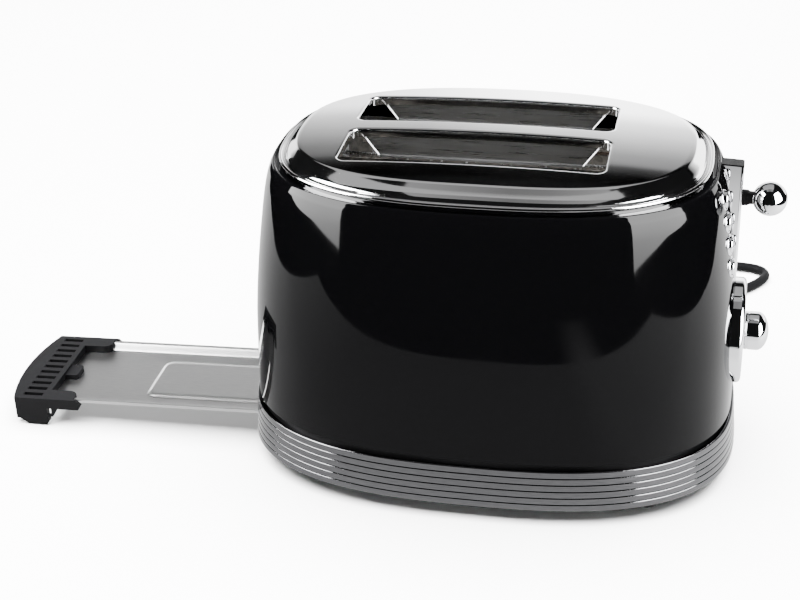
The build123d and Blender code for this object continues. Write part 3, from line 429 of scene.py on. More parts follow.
def enamelled_copper():
    """Fine enamelled copper winding, ridged by its turns."""
    finish, shader = new_finish("enamelled_copper", 1.0, roughness=0.3)
    turns = texture(shader, "ShaderNodeTexWave", 600)
    turns.bands_direction = "Z"
    tint(shader, turns.outputs["Fac"], (0.22, 0.08, 0.03), (0.55, 0.25, 0.11), 0.2, 0.8)
    relief(shader, turns.outputs["Fac"], 0.0001, 0.6)
    return finish


def laminate_board():
    """Brown paper laminate of the timer board."""
    finish, shader = new_finish("laminate_board", 0.0, roughness=0.4)
    fibre = grain(shader, 240, (1, 0.2, 1), detail=4)
    tint(shader, fibre, (0.24, 0.15, 0.065), (0.36, 0.25, 0.12))
    return finish


def nickel_pins():
    """Nickel-plated plug pins with light insertion scratches."""
    finish, shader = new_finish("nickel_pins", 1.0, (0.70, 0.68, 0.63))
    lines = grain(shader, 500, (0.08, 1, 1), detail=4)
    roughen(shader, lines, 0.14, 0.32)
    return finish


def dial_ink():
    """Baked black ink of the dial's figures and marks."""
    finish, shader = new_finish("dial_ink", 0.0, (0.01, 0.01, 0.01))
    fleck = grain(shader, 1500, detail=2)
    roughen(shader, fleck, 0.45, 0.65)
    return finish


enamel = black_enamel()
top_steel = polished_top_steel()
chrome = bright_chrome()
ring_metal = satin_ring_metal()
plastic = moulded_black()
gloss_plastic = glossy_black()
flex = cord_rubber()
rubber = foot_rubber()
tray_steel = rolled_tray_steel()
guide_steel = brushed_guide_steel()
zinc = spangled_zinc()
mica = flecked_mica()
heater = heater_metal()
wire = drawn_wire()
copper = enamelled_copper()
laminate = laminate_board()
nickel = nickel_pins()
ink = dial_ink()


# The mains lead: a short length shows behind the dial end, the rest is put away in a coil behind the body

CORD_ROUTE = [(84.0, 118.0, 17.5), (84.0, 131.0, 17.5), (85.0, 147.0, 14.0), (90.0, 163.0, 8.6),
              (99.0, 177.0, 4.6), (112.0, 186.5, 3.4), (126.0, 192.0, 3.4), (139.5, 199.5, 3.4),
              (150.5, 211.0, 3.4), (157.6, 221.6, 3.4), (160.2, 228.9, 3.4), (158.0, 236.2, 3.4),
              (151.0, 240.2, 3.5), (138.0, 241.6, 3.6), (113.0, 242.4, 3.8), (89.0, 240.0, 3.8)]
TAIL_ROUTE = [(38.0, 233.1, 10.7), (22.0, 234.6, 10.5), (6.0, 236.6, 7.6), (-10.0, 237.6, 4.4),
              (-25.0, 237.0, 3.9), (-39.0, 235.9, 6.2), (-52.0, 234.8, 10.3), (-64.0, 234.0, 12.4),
              (-75.0, 233.3, 12.4)]
COIL_TURNS = [(202.5, 37.5, 90, 3.8, 0), (199.05, 34.05, 270, 3.8, 0), (202.5, 30.6, 90, 3.8, 0),
              (199.05, 27.15, 270, 3.8, 6.9), (195.6, 30.6, 90, 10.7, 0), (199.05, 34.05, 270, 10.7, 0)]
COIL_X = 60.0
CORD_DIAMETER = 6.2


def coil_points():
    """Half turns one after another: each goes half round its own centre, and the fourth climbs a layer.
    The points stand a little outside the turn, because the cord's line cuts inside them."""
    per_half = 8
    outside = 1 / (0.75 + 0.25 * math.cos(math.pi / per_half))
    points = []
    for centre_y, radius, start, z, rise in COIL_TURNS:
        share = (np.arange(per_half) + 0.5) / per_half
        angle = np.radians(start + 180 * share)
        points += np.stack([COIL_X + outside * radius * np.cos(angle), centre_y + outside * radius * np.sin(angle),
                            z + rise * share], 1).tolist()
    return points


def lay_cord():
    """The lead as one round line from its gland to its plug."""
    points = CORD_ROUTE + coil_points() + TAIL_ROUTE
    line = bpy.data.curves.new("mains_lead", "CURVE")
    line.dimensions = "3D"
    line.bevel_depth = CORD_DIAMETER / 2 * MM
    line.bevel_resolution = 6
    line.resolution_u = 10
    line.use_fill_caps = True
    spline = line.splines.new("NURBS")
    spline.points.add(len(points) - 1)
    flat = np.ones((len(points), 4))
    flat[:, :3] = np.array(points) * MM
    spline.points.foreach_set("co", flat.ravel())
    spline.order_u = 3
    spline.use_endpoint_u = True
    line.materials.append(flex)
    lead = bpy.data.objects.new("mains_lead", line)
    collection.objects.link(lead)
    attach(lead, "toaster_body")
    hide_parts("cord", "cord_coil", "cord_tail")
    return lead


def make_gland():
    """Tapered relief sleeve: a flange against the ring, then collars with soft grooves, thinner outwards."""
    profile = [(74.5, 0), (74.5, 6.2), (77.5, 6.2), (77.5, 5.3), (90.5, 5.3), (92.5, 5.3)]
    for n in range(7):
        y = 93.5 + n * 3.3
        r = 5.3 - 1.1 * n / 7
        profile += [(y, r - 0.05), (y + 0.35, r), (y + 1.8, r - 0.1), (y + 2.2, r - 0.75), (y + 2.9, r - 0.8)]
    profile += [(116.6, 4.15), (117.6, 3.9), (118.0, 3.5), (118.0, 0)]
    points, faces = turned((84, 0, 17.5), (0, 1, 0), profile, 48)
    return make_piece("lead_gland", points, faces, flex, stands_for=["cord_gland"])


def plug_grip():
    """Moulded plug: rings round the lead, swelling to a flattened body with finger grooves and a flat face.
    A station is its distance along, its half width, its half height and the power of its rounded square."""
    start = np.array(TAIL_ROUTE[-1])
    d, e1, e2 = axes_for(start - TAIL_ROUTE[-2])
    boot = [(0, 3.6, 3.6, 2.0), (0.3, 4.4, 4.4, 2.0)]
    for n in range(6):
        h, r = 1.5 + n * 4.0, 4.6 + 0.38 * n
        boot += [(h, r, r, 2.0), (h + 2.2, r + 0.1, r + 0.1, 2.0), (h + 2.7, r - 0.55, r - 0.55, 2.0),
                 (h + 3.5, r - 0.5, r - 0.5, 2.0)]
    body = [(26.0, 8.2, 7.2, 2.1), (29.5, 10.9, 8.4, 2.3), (34.0, 14.6, 10.4, 2.6), (38.0, 15.6, 10.9, 2.8),
            (41.0, 15.5, 10.7, 2.9), (45.0, 16.4, 11.2, 3.0), (50.0, 17.4, 11.5, 3.2), (56.0, 17.5, 11.5, 3.3),
            (59.0, 17.3, 11.3, 3.3), (60.0, 16.4, 10.4, 3.2), (60.0, 12.0, 7.0, 3.0), (60.0, 0, 0, 2.0)]
    stations = np.array(boot + body)
    around = 72
    c, s = rounded_square(around, 2 / stations[:, 3:4])
    across, upward = c * stations[:, 1:2], s * stations[:, 2:3]
    points = start + stations[:, None, :1] * d + across[..., None] * e1 + upward[..., None] * e2
    return make_piece("plug_grip", points, grid_faces(len(stations), around, wrap_cols=True), flex,
                      stands_for=["plug_body"], outward=True)


lead = lay_cord()
gland = make_gland()
plug = plug_grip()


# Body

SHELL_PROFILE = [(139.2, 38.5), (138.7, 61.0), (137.8, 91.0), (135.2, 121.0), (131.4, 151.0), (128.6, 168.0),
                 (126.2, 176.5), (124.6, 179.8)]


def swept_oval(profile, steps):
    """A profile of (half length, height) carried round the oval: each of its points is an oval of that
    half length at that height."""
    profile = np.asarray(profile, float)
    outline = oval_at(steps)
    points = np.empty((len(profile), len(steps), 3))
    points[..., :2] = profile[:, None, :1] * outline
    points[..., 2] = profile[:, 1:2]
    return points


SHELL_WALL = through(SHELL_PROFILE, 400)
BUTTON_Y = -20.0
BUTTON_HOLE = 5.45
BUTTON_PLACES = {"button_cancel": 169.0, "button_reheat": 155.7, "button_defrost": 142.4, "button_bagel": 129.1}
LEVER_HALF, LEVER_LOW, LEVER_HIGH = 3.3, 110.8, 174.0


def wall_x(y, z):
    """How far out the wall's outside stands at the lever end: the oval of the profile's half length at z."""
    half = np.interp(z, SHELL_WALL[:, 1], SHELL_WALL[:, 0])
    return half * (1 - (np.abs(y) / (half * OVAL_RATIO)) ** OVAL_POWER) ** (1 / OVAL_POWER)


def make_shell():
    """The enamelled shell: a wall that draws in towards the top, a small rolled lip, and a shelf inside it
    that carries the top. An oblong is left open for the lever; for each button the grid's points that are
    nearest to a circle are drawn on to it, and the faces inside it are left out."""
    foot, head = SHELL_PROFILE[0][1], SHELL_PROFILE[-1][1]
    fine_low, fine_high = 122.0, 176.0
    heights = np.unique(np.round(np.concatenate([
        np.linspace(foot, LEVER_LOW, 30), np.linspace(LEVER_LOW, fine_low, 8), np.arange(fine_low, fine_high, 1.2),
        [LEVER_HIGH], np.linspace(fine_high, head, 6)]), 4))
    wall = np.stack([np.interp(heights, SHELL_WALL[:, 1], SHELL_WALL[:, 0]), heights], 1)
    lip = through([SHELL_PROFILE[-1], (124.1, 180.6), (123.5, 180.9), (122.9, 180.6), (122.5, 179.9),
                   (121.8, 179.5), (118.0, 179.5), (114.5, 179.5)], 22)
    profile = np.concatenate([wall, lip[1:]])
    fine_sides = np.concatenate([np.arange(-28.0, -12.0, 1.1), [-LEVER_HALF, LEVER_HALF]])
    steps = oval_steps(OVAL_STEPS, [step_at_width(y, 133.0, False) for y in fine_sides])
    points = swept_oval(profile, steps)
    at_end = points[..., 0] > 0
    side, height = points[..., 1], points[..., 2]
    snap = 0.62
    inside_hole = np.zeros(at_end.shape, bool)
    for z in BUTTON_PLACES.values():
        off = np.stack([side - BUTTON_Y, height - z], -1)
        reach = np.linalg.norm(off, axis=-1)
        close = at_end & (np.abs(reach - BUTTON_HOLE) < snap)
        on_circle = off / np.maximum(reach, 1e-9)[..., None] * BUTTON_HOLE
        new_side, new_height = BUTTON_Y + on_circle[close, 0], z + on_circle[close, 1]
        points[close] = np.stack([wall_x(new_side, new_height), new_side, new_height], -1)
        inside_hole |= at_end & (reach <= BUTTON_HOLE + snap)
    inside_lever = (at_end & (np.abs(side) < LEVER_HALF + 0.3)
                    & (height > LEVER_LOW - 0.05) & (height < LEVER_HIGH + 0.05))

    def keep(i, j):
        j2 = (j + 1) % len(steps)
        corners = [(i, j), (i, j2), (i + 1, j), (i + 1, j2)]
        return ~np.any([np.all([inside[c] for c in corners], axis=0) for inside in (inside_hole, inside_lever)], axis=0)

    faces = grid_faces(len(profile), len(steps), wrap_cols=True, keep=keep)
    return make_piece("shell_skin", points, faces, enamel, stands_for=["body_shell"],
                      thickness=1.0, sharp=50)


def make_rims():
    """The slim rims round the buttons: a rounded section of (radius, height above the wall) carried round
    each hole."""
    section = np.array([(5.15, -0.9), (5.12, 0.1), (5.2, 0.34), (5.38, 0.48), (5.6, 0.5), (5.82, 0.42), (5.95, 0.22),
                        (6.0, 0.0), (6.0, -0.3), (5.6, -0.9), (5.15, -0.9)])
    a = np.linspace(0, 2 * np.pi, 64, endpoint=False)
    points, faces = [], []
    for z in BUTTON_PLACES.values():
        y = BUTTON_Y + section[:, :1] * np.cos(a)
        height = z + section[:, :1] * np.sin(a)
        out = wall_x(y, height) + section[:, 1:2]
        faces.append(grid_faces(len(section), len(a), wrap_cols=True) + len(points) * out.size)
        points.append(np.stack([out, y, height], -1))
    return make_piece("button_rims", np.array(points), np.concatenate(faces), chrome,
                      stands_for=["button_bezel"], outward=True, sharp=60)


def make_ring():
    """The ribbed ring: level bands with rounded edges and narrow grooves between, a rolled top edge,
    and a notch at the left end for the tray's handle. A section point is (distance out, height)."""
    bottom, top, bands = 10.2, 34.7, 6
    foot_half, taper = 142.5, 1.9
    notch_top, notch_half = 23.7, 41.8
    groove = -0.95
    pitch = (top - bottom) / bands
    outline = [(-1.6, bottom), (-0.7, bottom + 0.02)]
    for n in range(bands):
        low, high = bottom + n * pitch, bottom + (n + 1) * pitch
        if n:
            outline += [(groove, low - 0.18), (groove, low + 0.18)]
        outline += [(-0.14, low + 0.26), (-0.04, low + 0.42), (0.0, low + 0.8),
                    (0.0, high - 0.8), (-0.04, high - 0.42), (-0.14, high - 0.26)]
    outline += [(-0.75, top - 0.1), (-1.3, top), (-2.4, top)]
    outline = np.array(outline)
    at = np.searchsorted(outline[:, 1], notch_top)
    outline = np.insert(outline, at, (0.0, notch_top), 0)
    half = foot_half - taper * (outline[:, 1] - bottom) / (top - bottom) + outline[:, 0]
    steps = oval_steps(OVAL_STEPS, [step_at_width(y, 141.0, True) for y in (-notch_half, notch_half)])
    points = swept_oval(np.stack([half, outline[:, 1]], 1), steps)

    def keep(i, j):
        middle = (points[i, j] + points[i + 1, (j + 1) % len(steps)]) / 2
        return ~((middle[:, 0] < 0) & (np.abs(middle[:, 1]) < notch_half) & (middle[:, 2] < notch_top))

    faces = grid_faces(len(points), len(steps), wrap_cols=True, keep=keep)
    return make_piece("ring_band", points, faces, ring_metal, stands_for=["base_ring"],
                      thickness=1.6, sharp=45)


# Top plate, in two mirrored halves joined on the centre line. Its dome ends at the brow, an oval of its own. Each
# point of SHOULDER is so many tenths of the way from there to SHOULDER_HALF, and so far down; each point of RIM
# is a half length and a height

SLOT_CENTRE = np.array([-7.9, -27.85])
SLOT_HALF = np.array([73.7, 22.65])
SLOT_CORNER = 7.0
DOME_TOP, DOME_LONG, DOME_ACROSS = 195.4, 1600.0, 710.0
BROW_HALF, BROW_DEPTH = 110.0, 71.6
BROW_ENDS = (-BROW_HALF, BROW_HALF)
SHOULDER_HALF = 116.1
SHOULDER = [(0.0, 0.0), (0.8, 0.2), (1.6, 0.65), (2.6, 1.3), (4.2, 2.3), (5.9, 3.3), (7.7, 4.35), (9.1, 5.35),
            (10.0, 6.3)]
RIM = [(116.7, 185.0), (116.75, 184.0), (117.1, 183.5), (117.8, 183.5), (118.4, 184.2), (119.2, 184.75),
       (119.95, 184.5), (120.4, 183.8), (120.2, 183.1), (119.3, 182.8), (118.0, 182.6), (117.0, 181.6),
       (116.6, 179.5)]


def dome_height(x, y):
    """Height of the shallow dome: an arch of radius DOME_ACROSS, carried along one of radius DOME_LONG."""
    reach = DOME_LONG - DOME_ACROSS + np.sqrt(DOME_ACROSS ** 2 - y ** 2)
    return DOME_TOP - DOME_LONG + np.sqrt(reach ** 2 - x ** 2)


def on_dome(p, drop=0.0):
    """Points of the plan, set on the dome or a drop below it."""
    return np.column_stack([p, dome_height(p[:, 0], p[:, 1]) - drop])


def slot_outline(u, grow):
    """A rounded rectangle round the near slot, grown by a distance: u counts its four corners, one per
    unit, and within each unit half is the corner and half is the straight that follows."""
    u = np.mod(u, 4.0)
    corner = np.floor(u).astype(int) % 4
    part = u - np.floor(u)
    signs = np.array([(1, -1), (1, 1), (-1, 1), (-1, -1)])
    inner = SLOT_HALF - SLOT_CORNER
    turn = np.clip(part * 2, 0, 1)
    angle = np.radians(corner * 90 - 90 + 90 * turn)
    run = np.clip(part * 2 - 1, 0, 1)[:, None]
    here, following = signs[corner] * inner, signs[(corner + 1) % 4] * inner
    base = here + (following - here) * run
    return SLOT_CENTRE + base + (SLOT_CORNER + grow) * np.stack([np.cos(angle), np.sin(angle)], 1)


def plate_edge(directions):
    """Where rays from the slot's centre leave the near half of the plate: on its centre line or its oval brow."""
    low = np.zeros(len(directions))
    high = np.full(len(directions), 260.0)
    for _ in range(60):
        middle = (low + high) / 2
        p = SLOT_CENTRE + middle[:, None] * directions
        inside = ((np.abs(p[:, 0]) / BROW_HALF) ** OVAL_POWER
                  + (np.abs(p[:, 1]) / BROW_DEPTH) ** OVAL_POWER < 1) & (p[:, 1] < 0)
        low = np.where(inside, middle, low)
        high = np.where(inside, high, middle)
    p = SLOT_CENTRE + ((low + high) / 2)[:, None] * directions
    p[np.abs(p[:, 1]) < 1e-6, 1] = 0
    return p


def slot_steps():
    """Steps round the slot's outline: close in its corners, even along its sides, and one where the ray from
    the slot's centre to each end of the brow crosses it."""
    corner = np.linspace(0, 0.5, 15)[:-1]
    straights = [np.linspace(0.5, 1, n + 1)[:-1] for n in (12, 72, 12, 72)]
    u = np.concatenate([np.concatenate([corner, straights[n]]) + n for n in range(4)])
    dense = np.linspace(0, 4, 4001)[:-1]
    rays = slot_outline(dense, 0) - SLOT_CENTRE
    turn = np.unwrap(np.arctan2(rays[:, 1], rays[:, 0]))
    for end_x in BROW_ENDS:
        ray = np.array([end_x, 0]) - SLOT_CENTRE
        angle = math.atan2(ray[1], ray[0])
        angle += 2 * math.pi * math.ceil((turn[0] - angle) / (2 * math.pi))
        u = np.append(u, np.interp(angle, turn, dense))
    return np.sort(u)


def make_top():
    """The polished top: the slot's turned-down lip and its small roll, the dome out to the brow, the shoulder,
    a groove and the rim bead. The near half is worked out and the far half is its mirror image."""
    u = slot_steps()
    edge = slot_outline(u, 0)
    rays = edge - SLOT_CENTRE
    brow = plate_edge(rays / np.linalg.norm(rays, axis=1)[:, None])
    corners = [np.argmin(np.hypot(brow[:, 0] - end_x, brow[:, 1])) for end_x in BROW_ENDS]
    brow[corners] = [(end_x, 0) for end_x in BROW_ENDS]

    roll = 1.3
    rows = [on_dome(slot_outline(u, -roll), drop) for drop in (5.2, 4.2, 3.2, 2.2)]
    rows += [on_dome(slot_outline(u, -roll * math.sin(angle)), roll * (1 - math.cos(angle)))
             for angle in np.radians([90, 72, 54, 36, 18])]
    rows += [on_dome(edge + (brow - edge) * share) for share in np.linspace(0, 1, 19) ** 1.25]
    sheet = np.array(rows)

    order = (corners[0] + np.arange(len(u))) % len(u)
    base = brow[order[:(corners[1] - corners[0]) % len(u) + 1]]
    outward = base / (BROW_HALF, BROW_DEPTH) * (1, OVAL_RATIO)
    band = [on_dome(base)]
    for tenths, drop in through(SHOULDER, 24)[1:]:
        place = base + (outward * SHOULDER_HALF - base) * tenths / 10
        band.append(np.column_stack([place, band[0][:, 2] - drop]))
    band += [np.column_stack([outward * half, np.full(len(base), z)]) for half, z in through(RIM, 40)[1:]]
    band = np.array(band)

    near = np.concatenate([sheet.reshape(-1, 3), band.reshape(-1, 3)])
    faces = np.concatenate([grid_faces(len(sheet), len(u), wrap_cols=True),
                            grid_faces(len(band), len(base)) + sheet.shape[0] * sheet.shape[1]])
    points = np.concatenate([near, near * (1, -1, 1)])
    faces = np.concatenate([faces[:, ::-1], faces + len(near)])
    return make_piece("top_skin", points, faces, top_steel, stands_for=["top_plate"],
                      thickness=0.7, even=False, sharp=60)


def make_flaps():
    """The bread guides: each is a sheet whose ends slant in towards its foot. Within a curl's width of its ends
    and its foot the sheet turns towards the slot in a quarter circle, and its foot goes on as a level lip."""
    top, depth, curl, lip = 190.0, 12.4, 0.9, 2.0
    half_top, slant = 67.0, 9.5
    end_zone, width = 2.4, 60.0
    across = np.concatenate([[0, 0.25, 0.5, 0.8, 1.1, 1.4], np.linspace(end_zone, width, 30)])
    down = np.concatenate([np.linspace(0, depth - 2.4, 12), depth - np.array([1.8, 1.3, 0.9, 0.5, 0.2, 0.0])])
    from_end, below = np.meshgrid(across, down, indexing="ij")
    half = half_top - slant * below / depth
    share = (from_end - end_zone) / (width - end_zone)
    x_out = np.where(from_end <= end_zone, half - from_end, (half - end_zone) * (1 - share))
    turn_end = np.clip(1 - from_end / curl, 0, 1)
    turn_foot = np.clip((below - depth + curl) / curl, 0, 1)
    bend = np.maximum(1 - np.sqrt(1 - turn_end ** 2), 1 - np.sqrt(1 - turn_foot ** 2))
    points, faces = [], []
    for side in (-1, 1):
        for edge in (-1, 1):
            y = side * -SLOT_CENTRE[1] + edge * (22.2 - curl * bend)
            left, right = [np.stack([SLOT_CENTRE[0] + way * x_out, y, top - below], -1) for way in (-1, 1)]
            sheet = np.concatenate([left, right[::-1][1:]])
            foot = sheet[:, -1:] - (0, edge * (lip - curl), 0)
            sheet = np.concatenate([sheet, foot], 1)
            quads = grid_faces(*sheet.shape[:2])
            faces.append((quads if edge > 0 else quads[:, ::-1]) + len(points) * sheet.shape[0] * sheet.shape[1])
            points.append(sheet)
    return make_piece("bread_flaps", np.array(points), np.concatenate(faces), guide_steel,
                      stands_for=["slot_guides"], thickness=0.35, sharp=60)


# Controls at the lever end

def make_ball():
    """The lever's ball, with a small flat collar where the arm goes in."""
    profile = np.concatenate([[(-9.3, 0), (-9.3, 3.0), (-9.05, 3.3)], arc((0, 0), (9.5, 9.5), 159, 0, 60)])
    points, faces = turned((151.6, 0, LEVER_Z), (1, 0, 0), profile)
    return make_piece("lever_knob", points, faces, chrome, "carriage", ["lever_ball"])


def make_arm():
    """The flat arm, its corners well rounded, drawn in a little where the ball takes it. A station is its x, its
    half width and its half height."""
    stations = np.array([(94.6, 0, 0), (94.6, 2.0, 4.5), (120.0, 2.0, 4.5), (137.0, 2.0, 4.5), (139.6, 2.0, 4.3),
                         (140.6, 2.0, 3.6), (143.2, 2.0, 3.4), (143.2, 0, 0)])
    around = 48
    c, s = rounded_square(around, 0.35)
    x, width, height = [stations[:, n:n + 1] for n in range(3)]
    points = np.stack([x + 0 * c, width * c, LEVER_Z + height * s], -1)
    return make_piece("lever_bar", points, grid_faces(len(points), around, wrap_cols=True), gloss_plastic,
                      "carriage", ["lever_arm"], outward=True)


def make_dial():
    """The dial's thick disc: a plain drum, a rounded edge, a shallow dish and a raised ring round the knob."""
    edge = arc((140.4, 27.6), (2.6, 2.6), 90, 5, 12)
    front = [(143.0, 27.2), (142.9, 26.4), (142.4, 25.6), (142.35, 25.0), (142.35, 14.0), (142.6, 13.4), (143.0, 13.0),
             (143.0, 12.2), (142.7, 11.8), (142.4, 11.5), (142.4, 3.2)]
    profile = [(135.6, 24.0), (135.6, 30.2), (138.0, 30.2)] + edge.tolist() + front
    points, faces = turned((0, 0, DIAL_Z), (1, 0, 0), profile, 160)
    return make_piece("dial_disc", points, faces, chrome, stands_for=["dial_bezel"], sharp=50)


def make_knob():
    """The bullet-shaped browning knob: a short skirt with a groove, a straight barrel and a round nose."""
    nose = arc((150.6, 0), (6.4, 11.0), 90, 0, 28)
    profile = [(143.4, 3.1), (143.4, 10.2), (143.7, 10.9), (144.2, 11.0), (145.2, 11.0), (145.45, 10.7),
               (145.75, 10.7), (146.0, 11.0), (148.4, 11.0)] + nose.tolist()
    points, faces = turned((0, 0, DIAL_Z), (1, 0, 0), profile, 128)
    return make_piece("browning_bullet", points, faces, chrome, "browning_knob", ["dial_knob"])


def make_button(name, z):
    """One push button: a stem, a skirt and a lightly dished cap with a rounded edge."""
    face_x = float(wall_x(BUTTON_Y, z)) + 1.8
    stem_x, stem, round_edge = 118.6, 2.0, 1.1
    profile = [(stem_x, 0), (stem_x, stem), (face_x - 5.3, stem), (face_x - 5.3, 4.6), (face_x - 5.1, 4.75),
               (face_x - round_edge, 4.75)]
    profile += arc((face_x - round_edge, 4.75 - round_edge), (round_edge, round_edge), 90, 0, 8).tolist()[1:]
    profile += [(face_x - 0.12, 2.9), (face_x - 0.25, 1.8), (face_x - 0.3, 0)]
    points, faces = turned((0, BUTTON_Y, z), (1, 0, 0), profile, 64)
    return make_piece(name + "_cap", points, faces, chrome, name.replace("button_", "") + "_button",
                      [name])


def mark_dial():
    """Generic marks on the dial: a line for each setting and the figures 1 to 6 beside them."""
    inner, outer, half_line = 16.6, 20.0, 0.35
    face_x, line_height = 142.42, 0.12
    figure_x, figure_radius, figure_size = 142.4, 22.6, 4.4
    facing_out = Matrix(((0, 0, 1, 0), (1, 0, 0, 0), (0, 1, 0, 0), (0, 0, 0, 1)))
    for n in range(6):
        angle = math.radians(225 - n * 54)
        across, upward = math.cos(angle), math.sin(angle)
        span = np.array([(inner, -half_line), (outer, -half_line), (outer, half_line), (inner, half_line)])
        y = span[:, 0] * across - span[:, 1] * upward
        z = span[:, 0] * upward + span[:, 1] * across
        front = np.column_stack([np.full(4, face_x), y, DIAL_Z + z])
        points = np.concatenate([front - (line_height, 0, 0), front])
        faces = [[0, 3, 2, 1], [4, 5, 6, 7]] + [[k, (k + 1) % 4, (k + 1) % 4 + 4, k + 4] for k in range(4)]
        make_piece(f"dial_mark_{n + 1}", points, faces, ink, outward=True)
        figure = bpy.data.curves.new(f"dial_figure_{n + 1}", "FONT")
        figure.body = str(n + 1)
        figure.size = figure_size * MM
        figure.align_x = "CENTER"
        figure.align_y = "CENTER"
        figure.extrude = 0.05 * MM
        piece = bpy.data.objects.new(f"dial_figure_{n + 1}", figure)
        collection.objects.link(piece)
        place = np.array([figure_x, figure_radius * across, DIAL_Z + figure_radius * upward]) * MM
        bpy.context.view_layer.update()
        flat = bpy.data.meshes.new_from_object(piece.evaluated_get(bpy.context.evaluated_depsgraph_get()))
        flat.transform(Matrix.Translation(place) @ facing_out)
        bpy.data.objects.remove(piece)
        piece = bpy.data.objects.new(f"dial_figure_{n + 1}", flat)
        collection.objects.link(piece)
        dress(piece, ink, sharp=30)


# Crumb tray, worked out level and then tilted to the slope of its runners

TRAY_TILT = math.radians(1.6)
TRAY_HINGE = np.array([-148, 0, 22])


def tilt_tray(points):
    """Turns level tray points about the line where the tray leaves the body, its outer end down."""
    x, y, z = np.moveaxis(np.asarray(points, float) - TRAY_HINGE, -1, 0)
    c, s = math.cos(TRAY_TILT), math.sin(TRAY_TILT)
    return np.stack([c * x - s * z, y, s * x + c * z], -1) + TRAY_HINGE


def smooth_step(value, low, high):
    """Nought below low, one above high, and an even s-curve between."""
    t = np.clip((value - low) / (high - low), 0, 1)
    return t * t * (3 - 2 * t)


def make_tray():
    """Folded sheet tray: flat rims, sloping sides with small bend radii, and a shallow raised panel whose
    edge is a rounded rectangle's distance run through an s-curve."""
    outer_end, inner_end, half_width = -272.0, -52.9, 38.0
    floor_z, rim_z = 17.6, 22.0
    panel_start, panel_end, panel_half, panel_corner, panel_rise = -214.0, -62.0, 22.5, 7.0, 1.0
    y = np.concatenate([np.linspace(0, 20, 11), np.linspace(31, 37, 26), np.linspace(20.5, 24, 12), [half_width]])
    y = np.unique(np.round(y, 4))
    y = np.concatenate([-y[::-1], y[1:]])
    x = np.concatenate([np.linspace(outer_end, inner_end, 90), np.linspace(-216.5, -205, 34),
                        np.linspace(-74, -58, 34)])
    x_grid, y_grid = np.meshgrid(np.unique(np.round(x, 4)), y, indexing="ij")
    z = floor_z + (rim_z - floor_z) * smooth_step(np.abs(y_grid), 32.1, 36.0)
    half = np.array([(panel_end - panel_start) / 2, panel_half])
    middle = (panel_end + panel_start) / 2
    reach = np.stack([np.abs(x_grid - middle), np.abs(y_grid)], -1) - (half - panel_corner)
    distance = np.linalg.norm(np.maximum(reach, 0), axis=-1) + np.minimum(reach.max(-1), 0) - panel_corner
    z += panel_rise * smooth_step(-distance, -0.2, 2.6)
    points = np.stack([x_grid, y_grid, z], -1)
    turned_up = points[-1:] * (0, 1, 0) + (inner_end + 0.3, 0, rim_z)
    points = np.concatenate([points, turned_up])
    faces = grid_faces(len(points), len(y))[:, ::-1]
    return make_piece("tray_pan", tilt_tray(points), faces, tray_steel, "tray", ["crumb_tray"],
                      thickness=0.8, sharp=45)


make_shell()
make_ring()
make_top()
make_flaps()
make_ball()
make_arm()
make_dial()
make_knob()
make_rims()
for button, z in BUTTON_PLACES.items():
    make_button(button, z)
mark_dial()
make_tray()


def make_spring():
    """Close-wound lift spring: a wire ring carried round a helix between the top shelf and the carriage."""
    turns, per_turn, around = 14, 20, 10
    coil_radius, wire_radius = 2.35, 0.42
    centre_x, centre_y, top, length = 98.0, 30.0, 177.6, 25.2
    t = np.linspace(0, 1, turns * per_turn + 1)
    a = 2 * np.pi * turns * t
    out = np.stack([np.cos(a), np.sin(a), 0 * a], 1)
    centre = coil_radius * out + np.stack([centre_x + 0 * t, centre_y + 0 * t, top - length * t], 1)
    b = np.linspace(0, 2 * np.pi, around, endpoint=False)[:, None]
    points = centre[:, None] + wire_radius * (np.cos(b) * out[:, None] + np.sin(b) * (0, 0, 1))
    ends = centre[[0, -1], None].repeat(around, 1)
    points = np.concatenate([ends[:1], points, ends[1:]])
    spring = new_piece("lift_spring", points, grid_faces(len(points), around, wrap_cols=True), outward=True)
    dress(spring, wire, None, ["carriage_spring"], sharp=None)
    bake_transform(spring)


make_spring()


# CAD nodes that stay as they are get their finishes here

FINISHES = {
    "base_pan": plastic, "feet": rubber, "base_screws": zinc, "chassis_rails": zinc,
    "front_frame": zinc, "rear_frame": zinc, "side_reflectors": guide_steel, "mica_boards": mica,
    "heating_ribbons": heater, "bread_cages": wire, "bread_rack_near": guide_steel, "bread_rack_far": guide_steel,
    "carriage_plate": zinc, "latch_armature": zinc, "electromagnet": copper, "guide_rods": wire,
    "lever_housing": chrome, "housing_cap": gloss_plastic, "button_guide": plastic,
    "circuit_board": laminate, "board_brackets": zinc, "button_switches": plastic, "dial_potentiometer": plastic,
    "potentiometer_shaft": wire, "tray_handle": plastic, "tray_rails": zinc, "cord_tie": plastic,
    "plug_pins": nickel, "terminal_block": plastic, "lead_cores": flex,
}
for name, finish in FINISHES.items():
    nodes[name].data.materials.clear()
    nodes[name].data.materials.append(finish)


# Floor and light

def flat_card(name, corners, finish):
    """A flat sheet of studio board, which is no part of the toaster."""
    mesh = bpy.data.meshes.new(name)
    mesh.from_pydata(corners, [], [tuple(range(len(corners)))])
    mesh.materials.append(finish)
    card = bpy.data.objects.new(name, mesh)
    collection.objects.link(card)
    return card


def level(x_low, x_high, y_low, y_high, z):
    """The corners of a level oblong."""
    return [(x_low, y_low, z), (x_high, y_low, z), (x_high, y_high, z), (x_low, y_high, z)]


def upright(start, end, top):
    """The corners of an upright board that stands on a line from a start to an end."""
    return [start, end, (*end[:2], top), (*start[:2], top)]


